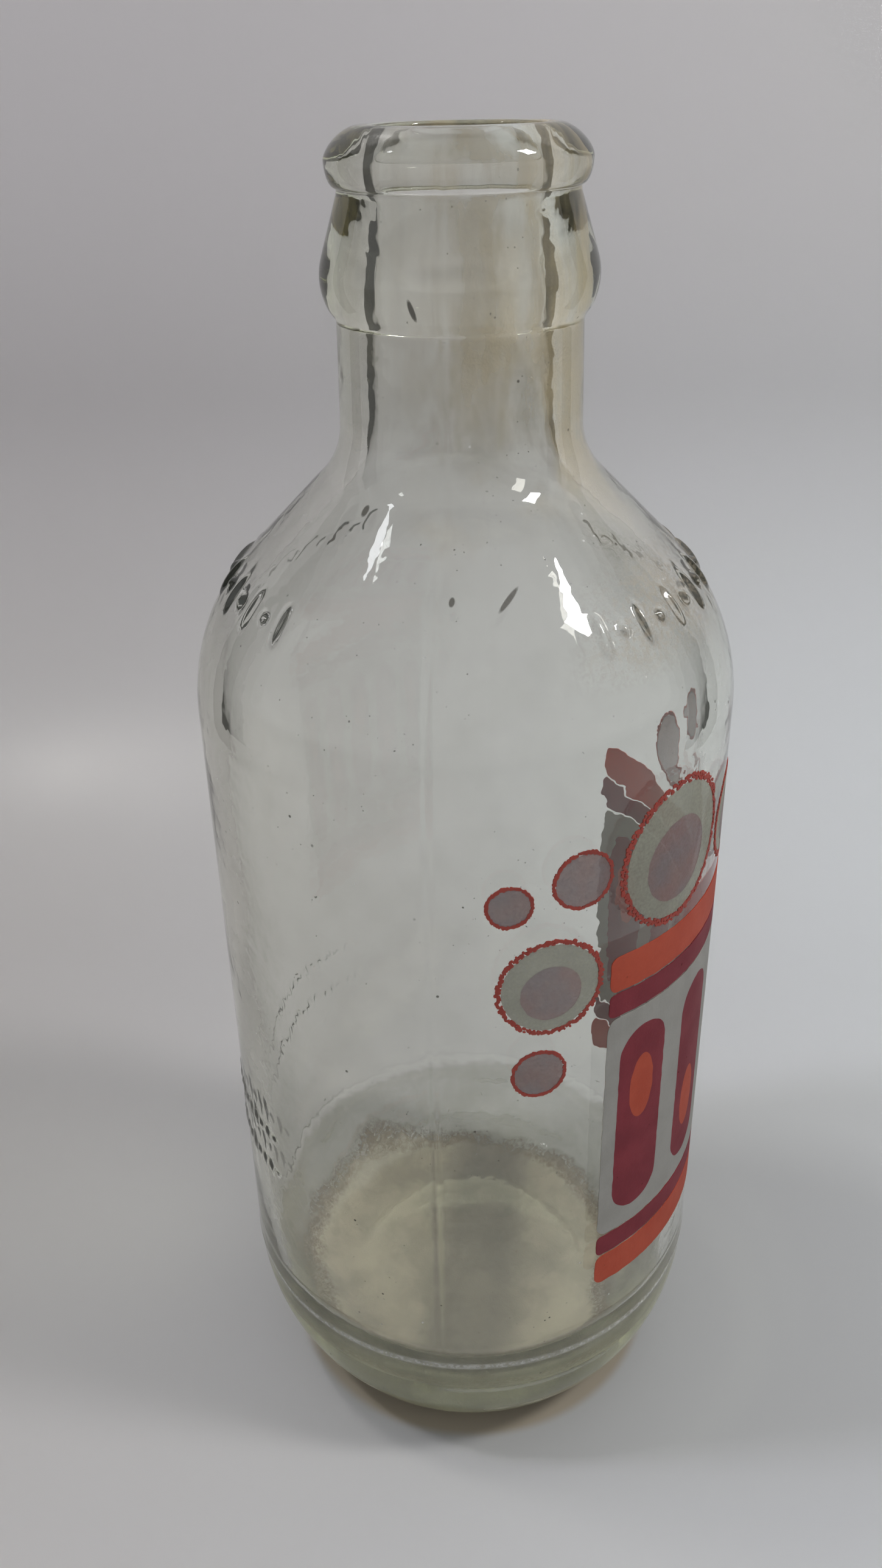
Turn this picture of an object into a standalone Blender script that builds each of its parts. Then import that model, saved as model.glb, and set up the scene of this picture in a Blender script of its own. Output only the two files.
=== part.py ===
"""Returnable soda bottle: clear pressed glass with a crown finish and a fired enamel label.

Units are metres, +Z is up, and the origin is the centre of the base, on the
plane that the bottle stands on. The label faces -Y, and the two halves of the
mould met at -X and +X.

The glass is one turned wall, open at the mouth. The enamel is a set of thin
fields wrapped round the body, laid out on the flat first: u runs along the
wall from the label's middle, and v is the height above the base.
"""

import math

import bmesh
import bpy
from mathutils import Matrix, Vector

MM = 0.001

# Body and foot
BODY_RADIUS = 31.35 * MM
BODY_WALL = 2.8 * MM
BODY_HEIGHT = 102.6 * MM
HEEL_LINE_HEIGHT = 20.0 * MM
HEEL_BEAD = 0.1 * MM
HEEL_BEAD_HEIGHT = 1.6 * MM
HEEL_INSET = 0.1 * MM
HEEL_TURN = math.radians(46)
FOOT_RADIUS = 2.0 * MM
BEARING_WIDTH = 3.0 * MM
PUSH_UP_HEIGHT = 4.2 * MM
FLOOR_THICKNESS = 6.3 * MM
FLOOR_DISHING = 1.0 * MM
INNER_HEEL_RADIUS = 13.5 * MM

# Shoulder and neck
SHOULDER_RADIUS = 23.7 * MM
SHOULDER_TURN = math.radians(45)
NECK_FILLET = 8.1 * MM
NECK_RADIUS = 13.04 * MM
NECK_TAPER = 0.2 * MM
NECK_WALL = 3.7 * MM
NECK_LENGTH = 10.58 * MM

# Crown finish
COLLAR_RADIUS = 14.35 * MM
COLLAR_STEP_HEIGHT = 0.42 * MM
COLLAR_UNDERSIDE_HEIGHT = 3.36 * MM
COLLAR_SLOPE_HEIGHT = 7.76 * MM
COLLAR_BULGE_RADIUS = 6.3 * MM
GROOVE_RADIUS = 12.2 * MM
GROOVE_HEIGHT = 0.45 * MM
LOCKING_RING_RADIUS = 13.3 * MM
LOCKING_UNDERSIDE_HEIGHT = 2.55 * MM
LIP_HEIGHT = 2.98 * MM
LIP_SLACKNESS = 1.3
LIP_SEAT_WIDTH = 0.8 * MM
MOUTH_RADIUS = 8.6 * MM
MOUTH_ROUNDING = 0.5 * MM
THROAT_DEPTH = 9.0 * MM

# Raised marks on the shoulder
MARK_ROWS = 2
MARKS_PER_ROW = 17
MARK_PITCH = math.radians(6.4)
MARK_LENGTH = 5.2 * MM
MARK_WIDTH = 1.4 * MM
MARK_RELIEF = 0.45 * MM
DOT_WIDTH = 1.6 * MM
MARK_TURN_SHARE = 0.87

# Label
LABEL_WIDTH = 58.0 * MM
LABEL_RISE = 11.0 * MM
LABEL_HEADROOM = 0.9 * MM
ENAMEL_GAP = 0.3 * MM
ENAMEL_THICKNESS = 0.25 * MM
FIELD_GAP = 0.3 * MM
ORANGE_BAND_SHARE = 0.068
CRIMSON_BAND_SHARE = 0.045
PANEL_SHARE = 0.48
BAND_END_SHARE = 0.25

# Lozenges on the white panel
LOZENGE_COUNT = 5
LOZENGE_WIDTH_SHARE = 0.66
LOZENGE_HEIGHT_SHARE = 0.84
OVAL_WIDTH_SHARE = 0.52
OVAL_HEIGHT_SHARE = 0.34
OVAL_SHIFT_SHARE = 0.17

# Bubbles round the panel's upper left corner, as shares of their field's height:
# middle u from the label's left edge, middle v from the upper band, radius
BUBBLE_FIELD_HEIGHT = 19.6 * MM
BUBBLE_SHARES = (
    (0.485, 0.52, 0.46),
    (-0.37, -0.08, 0.32),
    (-0.20, 0.58, 0.18),
    (-0.61, 0.48, 0.13),
    (-0.43, -0.675, 0.165),
    (1.29, 0.39, 0.30),
    (1.74, 0.78, 0.17),
    (2.16, 0.345, 0.24),
)
RIM_SHARE = 0.11
CORE_SHARE = 0.66
CORE_SHIFT_SHARE = 0.13
LARGE_BUBBLE_SHARE = 0.3

# Facets
TURN_STEPS = 48
ARC_STEP = math.radians(15)
WRAP_STEP = math.radians(6)
RING_POINTS = 24
CORNER_POINTS = 5
MARK_SEGMENTS = 6
MERGE_DISTANCE = 0.01 * MM

GLASS = ("clear_glass", (0.80, 0.86, 0.82), 0.05)
WHITE = ("white_enamel", (0.72, 0.73, 0.71), 0.35)
ORANGE = ("orange_enamel", (0.72, 0.13, 0.05), 0.35)
CRIMSON = ("crimson_enamel", (0.36, 0.03, 0.07), 0.35)
RIM_RED = ("red_enamel", (0.52, 0.08, 0.05), 0.45)
PALE = ("pale_enamel", (0.42, 0.43, 0.38), 0.45)
MAUVE = ("mauve_enamel", (0.30, 0.23, 0.25), 0.45)


def clear_scene():
    """Remove every object that the file opened with."""
    for obj in list(bpy.data.objects):
        bpy.data.objects.remove(obj)


def new_collection(name):
    collection = bpy.data.collections.new(name)
    bpy.context.scene.collection.children.link(collection)
    return collection


def material_for(finish):
    """Return the Principled material for a (name, colour, roughness) finish, made once."""
    name, colour, roughness = finish
    material = bpy.data.materials.get(name)
    if material:
        return material
    material = bpy.data.materials.new(name)
    material.use_nodes = True
    shader = material.node_tree.nodes["Principled BSDF"]
    shader.inputs["Base Color"].default_value = (*colour, 1.0)
    shader.inputs["Roughness"].default_value = roughness
    shader.inputs["Metallic"].default_value = 0.0
    return material


def arc(centre, radius, start, end):
    """Points (r, z) on an arc, both ends included, at most ARC_STEP apart."""
    count = max(1, math.ceil(abs(end - start) / ARC_STEP))
    angles = [start + (end - start) * i / count for i in range(count + 1)]
    return [
        (centre[0] + radius * math.cos(a), centre[1] + radius * math.sin(a))
        for a in angles
    ]


def shoulder(wall_radius, convex_radius, fillet_radius, neck_radius):
    """Points (r, z) up a shoulder: a convex arc, a straight cone and a concave fillet into the neck."""
    top = arc((wall_radius - convex_radius, BODY_HEIGHT), convex_radius, 0, SHOULDER_TURN)
    fillet_foot = neck_radius + fillet_radius * (1 - math.cos(SHOULDER_TURN))
    r, z = top[-1]
    run = (r - fillet_foot) / math.sin(SHOULDER_TURN)
    centre = (
        neck_radius + fillet_radius,
        z + run * math.cos(SHOULDER_TURN) + fillet_radius * math.sin(SHOULDER_TURN),
    )
    return top + arc(centre, fillet_radius, math.pi + SHOULDER_TURN, math.pi)


def finish_sizes():
    """Heights of the crown finish above the base, from the neck up, by name."""
    neck_foot = shoulder(BODY_RADIUS, SHOULDER_RADIUS, NECK_FILLET, NECK_RADIUS)[-1][1]
    collar_foot = neck_foot + NECK_LENGTH
    widest = collar_foot + COLLAR_STEP_HEIGHT + COLLAR_UNDERSIDE_HEIGHT
    groove = widest + COLLAR_SLOPE_HEIGHT
    locking_ring = groove + GROOVE_HEIGHT + LOCKING_UNDERSIDE_HEIGHT
    return {
        "neck_foot": neck_foot,
        "collar_foot": collar_foot,
        "widest": widest,
        "groove": groove,
        "locking_ring": locking_ring,
        "top": locking_ring + LIP_HEIGHT,
    }


def quarter(start, end, bulge_first, slackness=1):
    """Points (r, z) on a quarter ellipse between two corners, with start left out.

    bulge_first keeps the start's radius longest, so the curve leaves along Z.
    A slackness above 1 cuts the ellipse's corner.
    """
    steps = math.ceil(math.pi / 2 / ARC_STEP / 2)
    points = []
    for i in range(1, steps + 1):
        a = math.pi / 2 * i / steps
        rise, fall = math.sin(a) ** slackness, 1 - max(0, math.cos(a)) ** slackness
        along_r, along_z = (fall, rise) if bulge_first else (rise, fall)
        points.append((start[0] + (end[0] - start[0]) * along_r, start[1] + (end[1] - start[1]) * along_z))
    return points


def outer_finish():
    """Points (r, z) up the outside of the crown finish, from the neck to the lip's seat."""
    at = finish_sizes()
    neck_top = NECK_RADIUS - NECK_TAPER
    groove = (GROOVE_RADIUS, at["groove"])
    bulge = (COLLAR_RADIUS - COLLAR_BULGE_RADIUS, at["widest"])
    across, up = groove[0] - bulge[0], groove[1] - bulge[1]
    foot_turn = -math.asin(COLLAR_UNDERSIDE_HEIGHT / COLLAR_BULGE_RADIUS)
    slope_turn = math.atan2(up, across) - math.acos(COLLAR_BULGE_RADIUS / math.hypot(across, up))
    groove_top = (GROOVE_RADIUS, at["groove"] + GROOVE_HEIGHT)
    ring = (LOCKING_RING_RADIUS, at["locking_ring"])
    seat = (MOUTH_RADIUS + MOUTH_ROUNDING + LIP_SEAT_WIDTH, at["top"])
    points = [(neck_top, at["collar_foot"])]
    points += arc(bulge, COLLAR_BULGE_RADIUS, foot_turn, slope_turn) + [groove, groove_top]
    points += quarter(groove_top, ring, False)
    points += quarter(ring, seat, True, LIP_SLACKNESS)
    return points


def inner_finish():
    """Points (r, z) up the bore, from the throat to the rounded edge of the mouth."""
    top = finish_sizes()["top"]
    edge_centre = (MOUTH_RADIUS + MOUTH_ROUNDING, top - MOUTH_ROUNDING)
    return [(MOUTH_RADIUS, top - THROAT_DEPTH)] + arc(
        edge_centre, MOUTH_ROUNDING, math.pi, math.pi / 2
    )


def heel():
    """Points (r, z) up the heel, from the centre of the push-up to the straight wall."""
    wall = BODY_RADIUS - HEEL_INSET
    foot_end = FOOT_RADIUS * (1 - math.sin(HEEL_TURN))
    radius = (HEEL_LINE_HEIGHT - foot_end) / math.sin(HEEL_TURN)
    heel_arc = arc((wall - radius, HEEL_LINE_HEIGHT), radius, -HEEL_TURN, 0)
    foot_centre = (heel_arc[0][0] - FOOT_RADIUS * math.cos(HEEL_TURN), FOOT_RADIUS)
    foot = arc(foot_centre, FOOT_RADIUS, -math.pi / 2, -HEEL_TURN)
    bearing_inner = foot[0][0] - BEARING_WIDTH
    dome_radius = (bearing_inner**2 + PUSH_UP_HEIGHT**2) / (2 * PUSH_UP_HEIGHT)
    dome_turn = math.asin(bearing_inner / dome_radius)
    dome = arc((0, PUSH_UP_HEIGHT - dome_radius), dome_radius, math.pi / 2, math.pi / 2 - dome_turn)
    bead_foot = (wall + HEEL_INSET, HEEL_LINE_HEIGHT)
    bead_top = (BODY_RADIUS, HEEL_LINE_HEIGHT + HEEL_BEAD_HEIGHT)
    bead = (BODY_RADIUS + HEEL_BEAD, (bead_foot[1] + bead_top[1]) / 2)
    return [(0, PUSH_UP_HEIGHT)] + dome[1:] + foot + heel_arc[1:] + [bead_foot, bead, bead_top]


def inner_floor():
    """Points (r, z) from the axis across the dished floor and up the inner heel."""
    wall = BODY_RADIUS - BODY_WALL
    centre_height = PUSH_UP_HEIGHT + FLOOR_THICKNESS
    corner_centre = (wall - INNER_HEEL_RADIUS, centre_height - FLOOR_DISHING + INNER_HEEL_RADIUS)
    return [(0, centre_height)] + arc(corner_centre, INNER_HEEL_RADIUS, -math.pi / 2, 0)


def glass_profile():
    """Closed wall of the bottle as (r, z) points: up the inside, then down the outside."""
    neck_top = finish_sizes()["collar_foot"]
    bore = NECK_RADIUS - NECK_WALL
    inside = inner_floor()
    inside += shoulder(
        BODY_RADIUS - BODY_WALL, SHOULDER_RADIUS - BODY_WALL, NECK_FILLET + NECK_WALL, bore
    )
    inside += inner_finish()
    outside = heel() + shoulder(BODY_RADIUS, SHOULDER_RADIUS, NECK_FILLET, NECK_RADIUS)
    outside += [(NECK_RADIUS - NECK_TAPER, neck_top)] + outer_finish()[1:]
    return inside + outside[::-1]


def turned(name, profile, collection):
    """Make an object from an (r, z) profile turned about Z."""
    mesh = bpy.data.meshes.new(name)
    vertices = [(r, 0, z) for r, z in profile]
    edges = [(i, i + 1) for i in range(len(profile) - 1)]
    mesh.from_pydata(vertices, edges, [])
    obj = bpy.data.objects.new(name, mesh)
    collection.objects.link(obj)
    screw = obj.modifiers.new("turn", "SCREW")
    screw.axis = "Z"
    screw.steps = TURN_STEPS
    screw.render_steps = TURN_STEPS
    screw.use_merge_vertices = True
    screw.merge_threshold = MERGE_DISTANCE
    screw.use_smooth_shade = True
    return obj


def shoulder_marks(collection):
    """Raised lens-shaped marks on both sides of the shoulder, long ones and dots in turn."""
    turn = SHOULDER_TURN * MARK_TURN_SHARE
    centre_r = BODY_RADIUS - SHOULDER_RADIUS
    place = Vector((centre_r + SHOULDER_RADIUS * math.cos(turn), 0, BODY_HEIGHT + SHOULDER_RADIUS * math.sin(turn)))
    lean = Matrix.Rotation(-turn, 4, "Y")
    mesh = bmesh.new()
    for row in range(MARK_ROWS):
        for i in range(MARKS_PER_ROW):
            length = MARK_LENGTH if i % 2 == 0 else DOT_WIDTH
            width = MARK_WIDTH if i % 2 == 0 else DOT_WIDTH
            size = Matrix.Diagonal((2 * MARK_RELIEF, width, length, 1))
            around = math.tau * row / MARK_ROWS + (i - (MARKS_PER_ROW - 1) / 2) * MARK_PITCH - math.pi / 2
            matrix = Matrix.Rotation(around, 4, "Z") @ Matrix.Translation(place) @ lean @ size
            bmesh.ops.create_uvsphere(
                mesh, u_segments=MARK_SEGMENTS, v_segments=MARK_SEGMENTS, radius=1 / 2, matrix=matrix
            )
    data = bpy.data.meshes.new("shoulder_marks")
    mesh.to_mesh(data)
    mesh.free()
    obj = bpy.data.objects.new("shoulder_marks", data)
    collection.objects.link(obj)
    obj.hide_render = True
    obj.display_type = "WIRE"
    return obj


def glass_bottle(parts, cutters):
    """The turned glass wall with its raised shoulder marks."""
    obj = turned("glass_bottle", glass_profile(), parts)
    union = obj.modifiers.new("marks", "BOOLEAN")
    union.operation = "UNION"
    union.object = shoulder_marks(cutters)
    obj.data.materials.append(material_for(GLASS))
    return obj


def rounded_box(u0, u1, v0, v1, radius):
    """Outline of a rectangle with round corners, counter-clockwise."""
    corners = ((u1, v0, -math.pi / 2), (u1, v1, 0), (u0, v1, math.pi / 2), (u0, v0, math.pi))
    middle = ((u0 + u1) / 2, (v0 + v1) / 2)
    points = []
    for u, v, start in corners:
        cu = u - math.copysign(radius, u - middle[0])
        cv = v - math.copysign(radius, v - middle[1])
        for i in range(CORNER_POINTS):
            a = start + math.pi / 2 * i / (CORNER_POINTS - 1)
            points.append((cu + radius * math.cos(a), cv + radius * math.sin(a)))
    return points


def ellipse(u, v, half_width, half_height):
    """Outline of an ellipse, counter-clockwise."""
    angles = [math.tau * i / RING_POINTS for i in range(RING_POINTS)]
    return [(u + half_width * math.cos(a), v + half_height * math.sin(a)) for a in angles]


def without_repeats(outline):
    """The outline without points that lie on the one before, as where two round corners meet."""
    return [
        point
        for i, point in enumerate(outline)
        if math.dist(point, outline[i - 1]) > MERGE_DISTANCE
    ]


def flat_field(name, outlines):
    """Fill outlines, the first one outer and the rest holes, as a flat mesh in u and v."""
    curve = bpy.data.curves.new(name, "CURVE")
    curve.dimensions = "2D"
    curve.fill_mode = "FRONT"
    for outline in map(without_repeats, outlines):
        spline = curve.splines.new("POLY")
        spline.points.add(len(outline) - 1)
        for point, (u, v) in zip(spline.points, outline):
            point.co = (u, v, 0, 1)
        spline.use_cyclic_u = True
    guide = bpy.data.objects.new(name + "_outline", curve)
    bpy.context.scene.collection.objects.link(guide)
    graph = bpy.context.evaluated_depsgraph_get()
    mesh = bpy.data.meshes.new_from_object(guide.evaluated_get(graph))
    bpy.data.objects.remove(guide)
    return mesh


def wrapped(name, outlines, finish, collection):
    """Wrap a filled outline round the body and give it the enamel's thickness."""
    radius = BODY_RADIUS + ENAMEL_GAP
    data = flat_field(name, outlines)
    mesh = bmesh.new()
    mesh.from_mesh(data)
    bmesh.ops.remove_doubles(mesh, verts=mesh.verts[:], dist=MERGE_DISTANCE)
    width = max(abs(vertex.co.x) for vertex in mesh.verts)
    columns = math.ceil(width / (WRAP_STEP * BODY_RADIUS))
    for i in range(-columns, columns + 1):
        bmesh.ops.bisect_plane(
            mesh,
            geom=mesh.verts[:] + mesh.edges[:] + mesh.faces[:],
            dist=MERGE_DISTANCE,
            plane_co=(i * WRAP_STEP * BODY_RADIUS, 0, 0),
            plane_no=(1, 0, 0),
        )
    bmesh.ops.remove_doubles(mesh, verts=mesh.verts[:], dist=MERGE_DISTANCE)
    bmesh.ops.dissolve_degenerate(mesh, edges=mesh.edges[:], dist=MERGE_DISTANCE)
    for face in mesh.faces:
        if face.normal.z < 0:
            face.normal_flip()
    for vertex in mesh.verts:
        angle = vertex.co.x / BODY_RADIUS
        vertex.co = (radius * math.sin(angle), -radius * math.cos(angle), vertex.co.y)
    mesh.normal_update()
    mesh.to_mesh(data)
    mesh.free()
    data.name = name
    data.materials.append(material_for(finish))
    obj = bpy.data.objects.new(name, data)
    collection.objects.link(obj)
    shell = obj.modifiers.new("thickness", "SOLIDIFY")
    shell.thickness = ENAMEL_THICKNESS
    shell.offset = 1
    return obj


def label_levels():
    """Heights above the base where each field of the label starts and ends."""
    bottom = HEEL_LINE_HEIGHT + LABEL_RISE
    top = BODY_HEIGHT - LABEL_HEADROOM
    orange_height = (top - bottom) * ORANGE_BAND_SHARE
    crimson_height = (top - bottom) * CRIMSON_BAND_SHARE
    lower_orange = (bottom, bottom + orange_height)
    lower_crimson = (lower_orange[1] + FIELD_GAP, lower_orange[1] + FIELD_GAP + crimson_height)
    panel_foot = lower_crimson[1] + FIELD_GAP
    panel = (panel_foot, panel_foot + (top - bottom) * PANEL_SHARE)
    upper_crimson = (panel[1] + FIELD_GAP, panel[1] + FIELD_GAP + crimson_height)
    upper_orange = (upper_crimson[1] + FIELD_GAP, upper_crimson[1] + FIELD_GAP + orange_height)
    bubbles = (upper_orange[1], upper_orange[1] + BUBBLE_FIELD_HEIGHT)
    return {
        "lower_orange": lower_orange,
        "lower_crimson": lower_crimson,
        "panel": panel,
        "upper_crimson": upper_crimson,
        "upper_orange": upper_orange,
        "bubbles": bubbles,
    }


def lozenges(panel):
    """Middle u and v, half width and half height of each lozenge, and the middle v of its oval."""
    pitch = LABEL_WIDTH / LOZENGE_COUNT
    middle = (panel[0] + panel[1]) / 2
    half_width = pitch * LOZENGE_WIDTH_SHARE / 2
    half_height = (panel[1] - panel[0]) * LOZENGE_HEIGHT_SHARE / 2
    shift = 2 * half_height * OVAL_SHIFT_SHARE
    places = []
    for i in range(LOZENGE_COUNT):
        u = (i - (LOZENGE_COUNT - 1) / 2) * pitch
        places.append((u, middle, half_width, half_height, middle + (shift if i % 2 == 0 else -shift)))
    return places


def label_bands(levels, collection):
    """Orange and crimson bands above and below the white panel."""
    half = LABEL_WIDTH / 2
    for name, finish in (
        ("lower_orange", ORANGE),
        ("lower_crimson", CRIMSON),
        ("upper_crimson", CRIMSON),
        ("upper_orange", ORANGE),
    ):
        v0, v1 = levels[name]
        outline = rounded_box(-half, half, v0, v1, (v1 - v0) * BAND_END_SHARE)
        wrapped(name + "_band", [outline], finish, collection)


def label_panel(levels, collection):
    """White panel, with a crimson lozenge and an orange oval let into each of its openings."""
    half = LABEL_WIDTH / 2
    v0, v1 = levels["panel"]
    corner = (v1 - v0) * CRIMSON_BAND_SHARE
    outlines = [rounded_box(-half, half, v0, v1, corner)]
    for i, (u, v, half_width, half_height, oval_v) in enumerate(lozenges(levels["panel"]), 1):
        opening = (half_width + FIELD_GAP, half_height + FIELD_GAP)
        outlines.append(
            rounded_box(u - opening[0], u + opening[0], v - opening[1], v + opening[1], opening[0])
        )
        oval = (half_width * OVAL_WIDTH_SHARE, half_height * OVAL_HEIGHT_SHARE)
        body = rounded_box(u - half_width, u + half_width, v - half_height, v + half_height, half_width)
        hole = ellipse(u, oval_v, oval[0] + FIELD_GAP, oval[1] + FIELD_GAP)
        wrapped(f"crimson_lozenge_{i}", [body, hole], CRIMSON, collection)
        wrapped(f"orange_oval_{i}", [ellipse(u, oval_v, *oval)], ORANGE, collection)
    wrapped("white_panel", outlines, WHITE, collection)


def label_bubbles(levels, collection):
    """Bubbles round the panel's corner: a red rim, and inside it a mauve core, with a pale halo in the large ones."""
    foot = levels["bubbles"][0]
    for i, (u_share, v_share, radius_share) in enumerate(BUBBLE_SHARES, 1):
        u = u_share * BUBBLE_FIELD_HEIGHT - LABEL_WIDTH / 2
        v, radius = foot + v_share * BUBBLE_FIELD_HEIGHT, radius_share * BUBBLE_FIELD_HEIGHT
        inner = radius * (1 - RIM_SHARE)
        rim = [ellipse(u, v, radius, radius), ellipse(u, v, inner, inner)]
        wrapped(f"bubble_rim_{i}", rim, RIM_RED, collection)
        fill = inner - FIELD_GAP
        if radius_share < LARGE_BUBBLE_SHARE:
            wrapped(f"bubble_core_{i}", [ellipse(u, v, fill, fill)], MAUVE, collection)
            continue
        core = fill * CORE_SHARE
        core_v = v - fill * CORE_SHIFT_SHARE
        hole = ellipse(u, core_v, core + FIELD_GAP, core + FIELD_GAP)
        wrapped(f"bubble_halo_{i}", [ellipse(u, v, fill, fill), hole], PALE, collection)
        wrapped(f"bubble_core_{i}", [ellipse(u, core_v, core, core)], MAUVE, collection)


def main():
    clear_scene()
    parts = new_collection("soda_bottle")
    cutters = new_collection("joined_shapes")
    cutters.hide_render = True
    glass_bottle(parts, cutters)
    levels = label_levels()
    label_panel(levels, parts)
    label_bands(levels, parts)
    label_bubbles(levels, parts)


main()
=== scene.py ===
"""Looks for the soda bottle: pressed glass, fired label, wear, light and camera.

Units are metres, +Z is up and the origin is the centre of the base. The label
faces -Y and the mould seams are at -X and +X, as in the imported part.
"""

import logging
import math
from dataclasses import dataclass, field
from enum import Enum
from typing import Iterable, Sequence, Union

import bmesh
import bpy
from mathutils import Matrix, Vector, noise
from mathutils.geometry import interpolate_bezier


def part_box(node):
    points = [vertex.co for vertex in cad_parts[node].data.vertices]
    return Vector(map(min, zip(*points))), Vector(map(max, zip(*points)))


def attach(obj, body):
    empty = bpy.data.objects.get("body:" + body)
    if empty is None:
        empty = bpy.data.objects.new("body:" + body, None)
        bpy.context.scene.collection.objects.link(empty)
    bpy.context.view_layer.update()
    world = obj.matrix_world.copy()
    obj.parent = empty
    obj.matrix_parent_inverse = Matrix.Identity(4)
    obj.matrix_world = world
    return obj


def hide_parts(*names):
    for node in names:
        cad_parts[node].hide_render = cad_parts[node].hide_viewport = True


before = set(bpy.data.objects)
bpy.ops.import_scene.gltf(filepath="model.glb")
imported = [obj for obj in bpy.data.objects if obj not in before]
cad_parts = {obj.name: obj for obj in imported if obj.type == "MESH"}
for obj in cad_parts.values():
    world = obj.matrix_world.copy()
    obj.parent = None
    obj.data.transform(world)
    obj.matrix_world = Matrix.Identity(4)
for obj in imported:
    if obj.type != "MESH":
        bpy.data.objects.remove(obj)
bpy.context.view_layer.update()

LOG = logging.getLogger("soda_bottle")
MM = 0.001
VIEW_TURN = math.radians(-82.8)
GLASS_BOUNCES = 24
CLEAR_BOUNCES = 16

Point = tuple[float, float]
Triple = tuple[float, float, float]
Colour = Triple
Value = Union["Field", float]
Socket = bpy.types.NodeSocket
Object = bpy.types.Object
Material = bpy.types.Material
Mesh = bpy.types.Mesh
Shade = Union[Colour, Socket]


class Slot(Enum):
    """Material slots of the record."""

    CLEAR_GLASS = "clear_glass"
    WHITE = "white_enamel"
    ORANGE = "orange_enamel"
    CRIMSON = "crimson_enamel"
    RED = "red_enamel"
    PALE = "pale_enamel"
    MAUVE = "mauve_enamel"


class Side(Enum):
    """Which face of the glass wall a point lies on."""

    INNER = 1.0
    OUTER = 0.0


# Node maths


class Field:
    """A node's output that Python's operators turn into Math nodes."""

    def __init__(self, maker: "NodeMaker", socket: Socket) -> None:
        """Wrap a socket.

        Args:
            maker: The maker that adds nodes to the socket's tree.
            socket: The output to work with.
        """
        self.maker = maker
        self.socket = socket

    def math(self, operation: str, *values: Value) -> "Field":
        """Add a Math node on this value and up to two more.

        Args:
            operation: The node's operation.
            values: What follows this value in its sockets.

        Returns:
            The result.
        """
        inputs = dict(enumerate((self, *values)))
        node = self.maker.node("ShaderNodeMath", {"operation": operation}, inputs)
        return Field(self.maker, node.outputs[0])

    def reflected(self, operation: str, value: float) -> "Field":
        """Return the result of a Math node with a plain number in front."""
        node = self.maker.node("ShaderNodeMath", {"operation": operation}, {0: value, 1: self})
        return Field(self.maker, node.outputs[0])

    def __add__(self, other: Value) -> "Field":
        """Sum."""
        return self.math("ADD", other)

    def __radd__(self, other: float) -> "Field":
        """Sum with a number in front."""
        return self.math("ADD", other)

    def __sub__(self, other: Value) -> "Field":
        """Difference."""
        return self.math("SUBTRACT", other)

    def __rsub__(self, other: float) -> "Field":
        """Difference with a number in front."""
        return self.reflected("SUBTRACT", other)

    def __mul__(self, other: Value) -> "Field":
        """Product."""
        return self.math("MULTIPLY", other)

    def __rmul__(self, other: float) -> "Field":
        """Product with a number in front."""
        return self.math("MULTIPLY", other)

    def __truediv__(self, other: Value) -> "Field":
        """Quotient."""
        return self.math("DIVIDE", other)

    def __rtruediv__(self, other: float) -> "Field":
        """Quotient with a number in front."""
        return self.reflected("DIVIDE", other)

    def __pow__(self, other: Value) -> "Field":
        """Power."""
        return self.math("POWER", other)

    def __rpow__(self, other: float) -> "Field":
        """Power of a plain number."""
        return self.reflected("POWER", other)

    def __abs__(self) -> "Field":
        """Size without sign."""
        return self.math("ABSOLUTE")

    def at_least(self, other: Value) -> "Field":
        """The larger of the two."""
        return self.math("MAXIMUM", other)

    def ramp(self, low: float, high: float) -> "Field":
        """Return 0 below low and 1 above high, with a smooth step between.

        Args:
            low: Value that gives 0.
            high: Value that gives 1. It may be less than low.

        Returns:
            The stepped value.
        """
        node = self.maker.node(
            "ShaderNodeMapRange",
            {"interpolation_type": "SMOOTHSTEP", "clamp": True},
            {"Value": self, "From Min": low, "From Max": high, "To Min": 0.0, "To Max": 1.0},
        )
        return Field(self.maker, node.outputs["Result"])

    def band(self, middle: float, half: float, soft: float) -> "Field":
        """Return 1 within half of middle, falling to 0 over soft outside it."""
        return abs(self - middle).ramp(half + soft, half)


def opaque(colour: Shade) -> tuple | Socket:
    """Give a plain colour its alpha, and leave a socket as it is."""
    return (*colour, 1.0) if isinstance(colour, tuple) else colour


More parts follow.
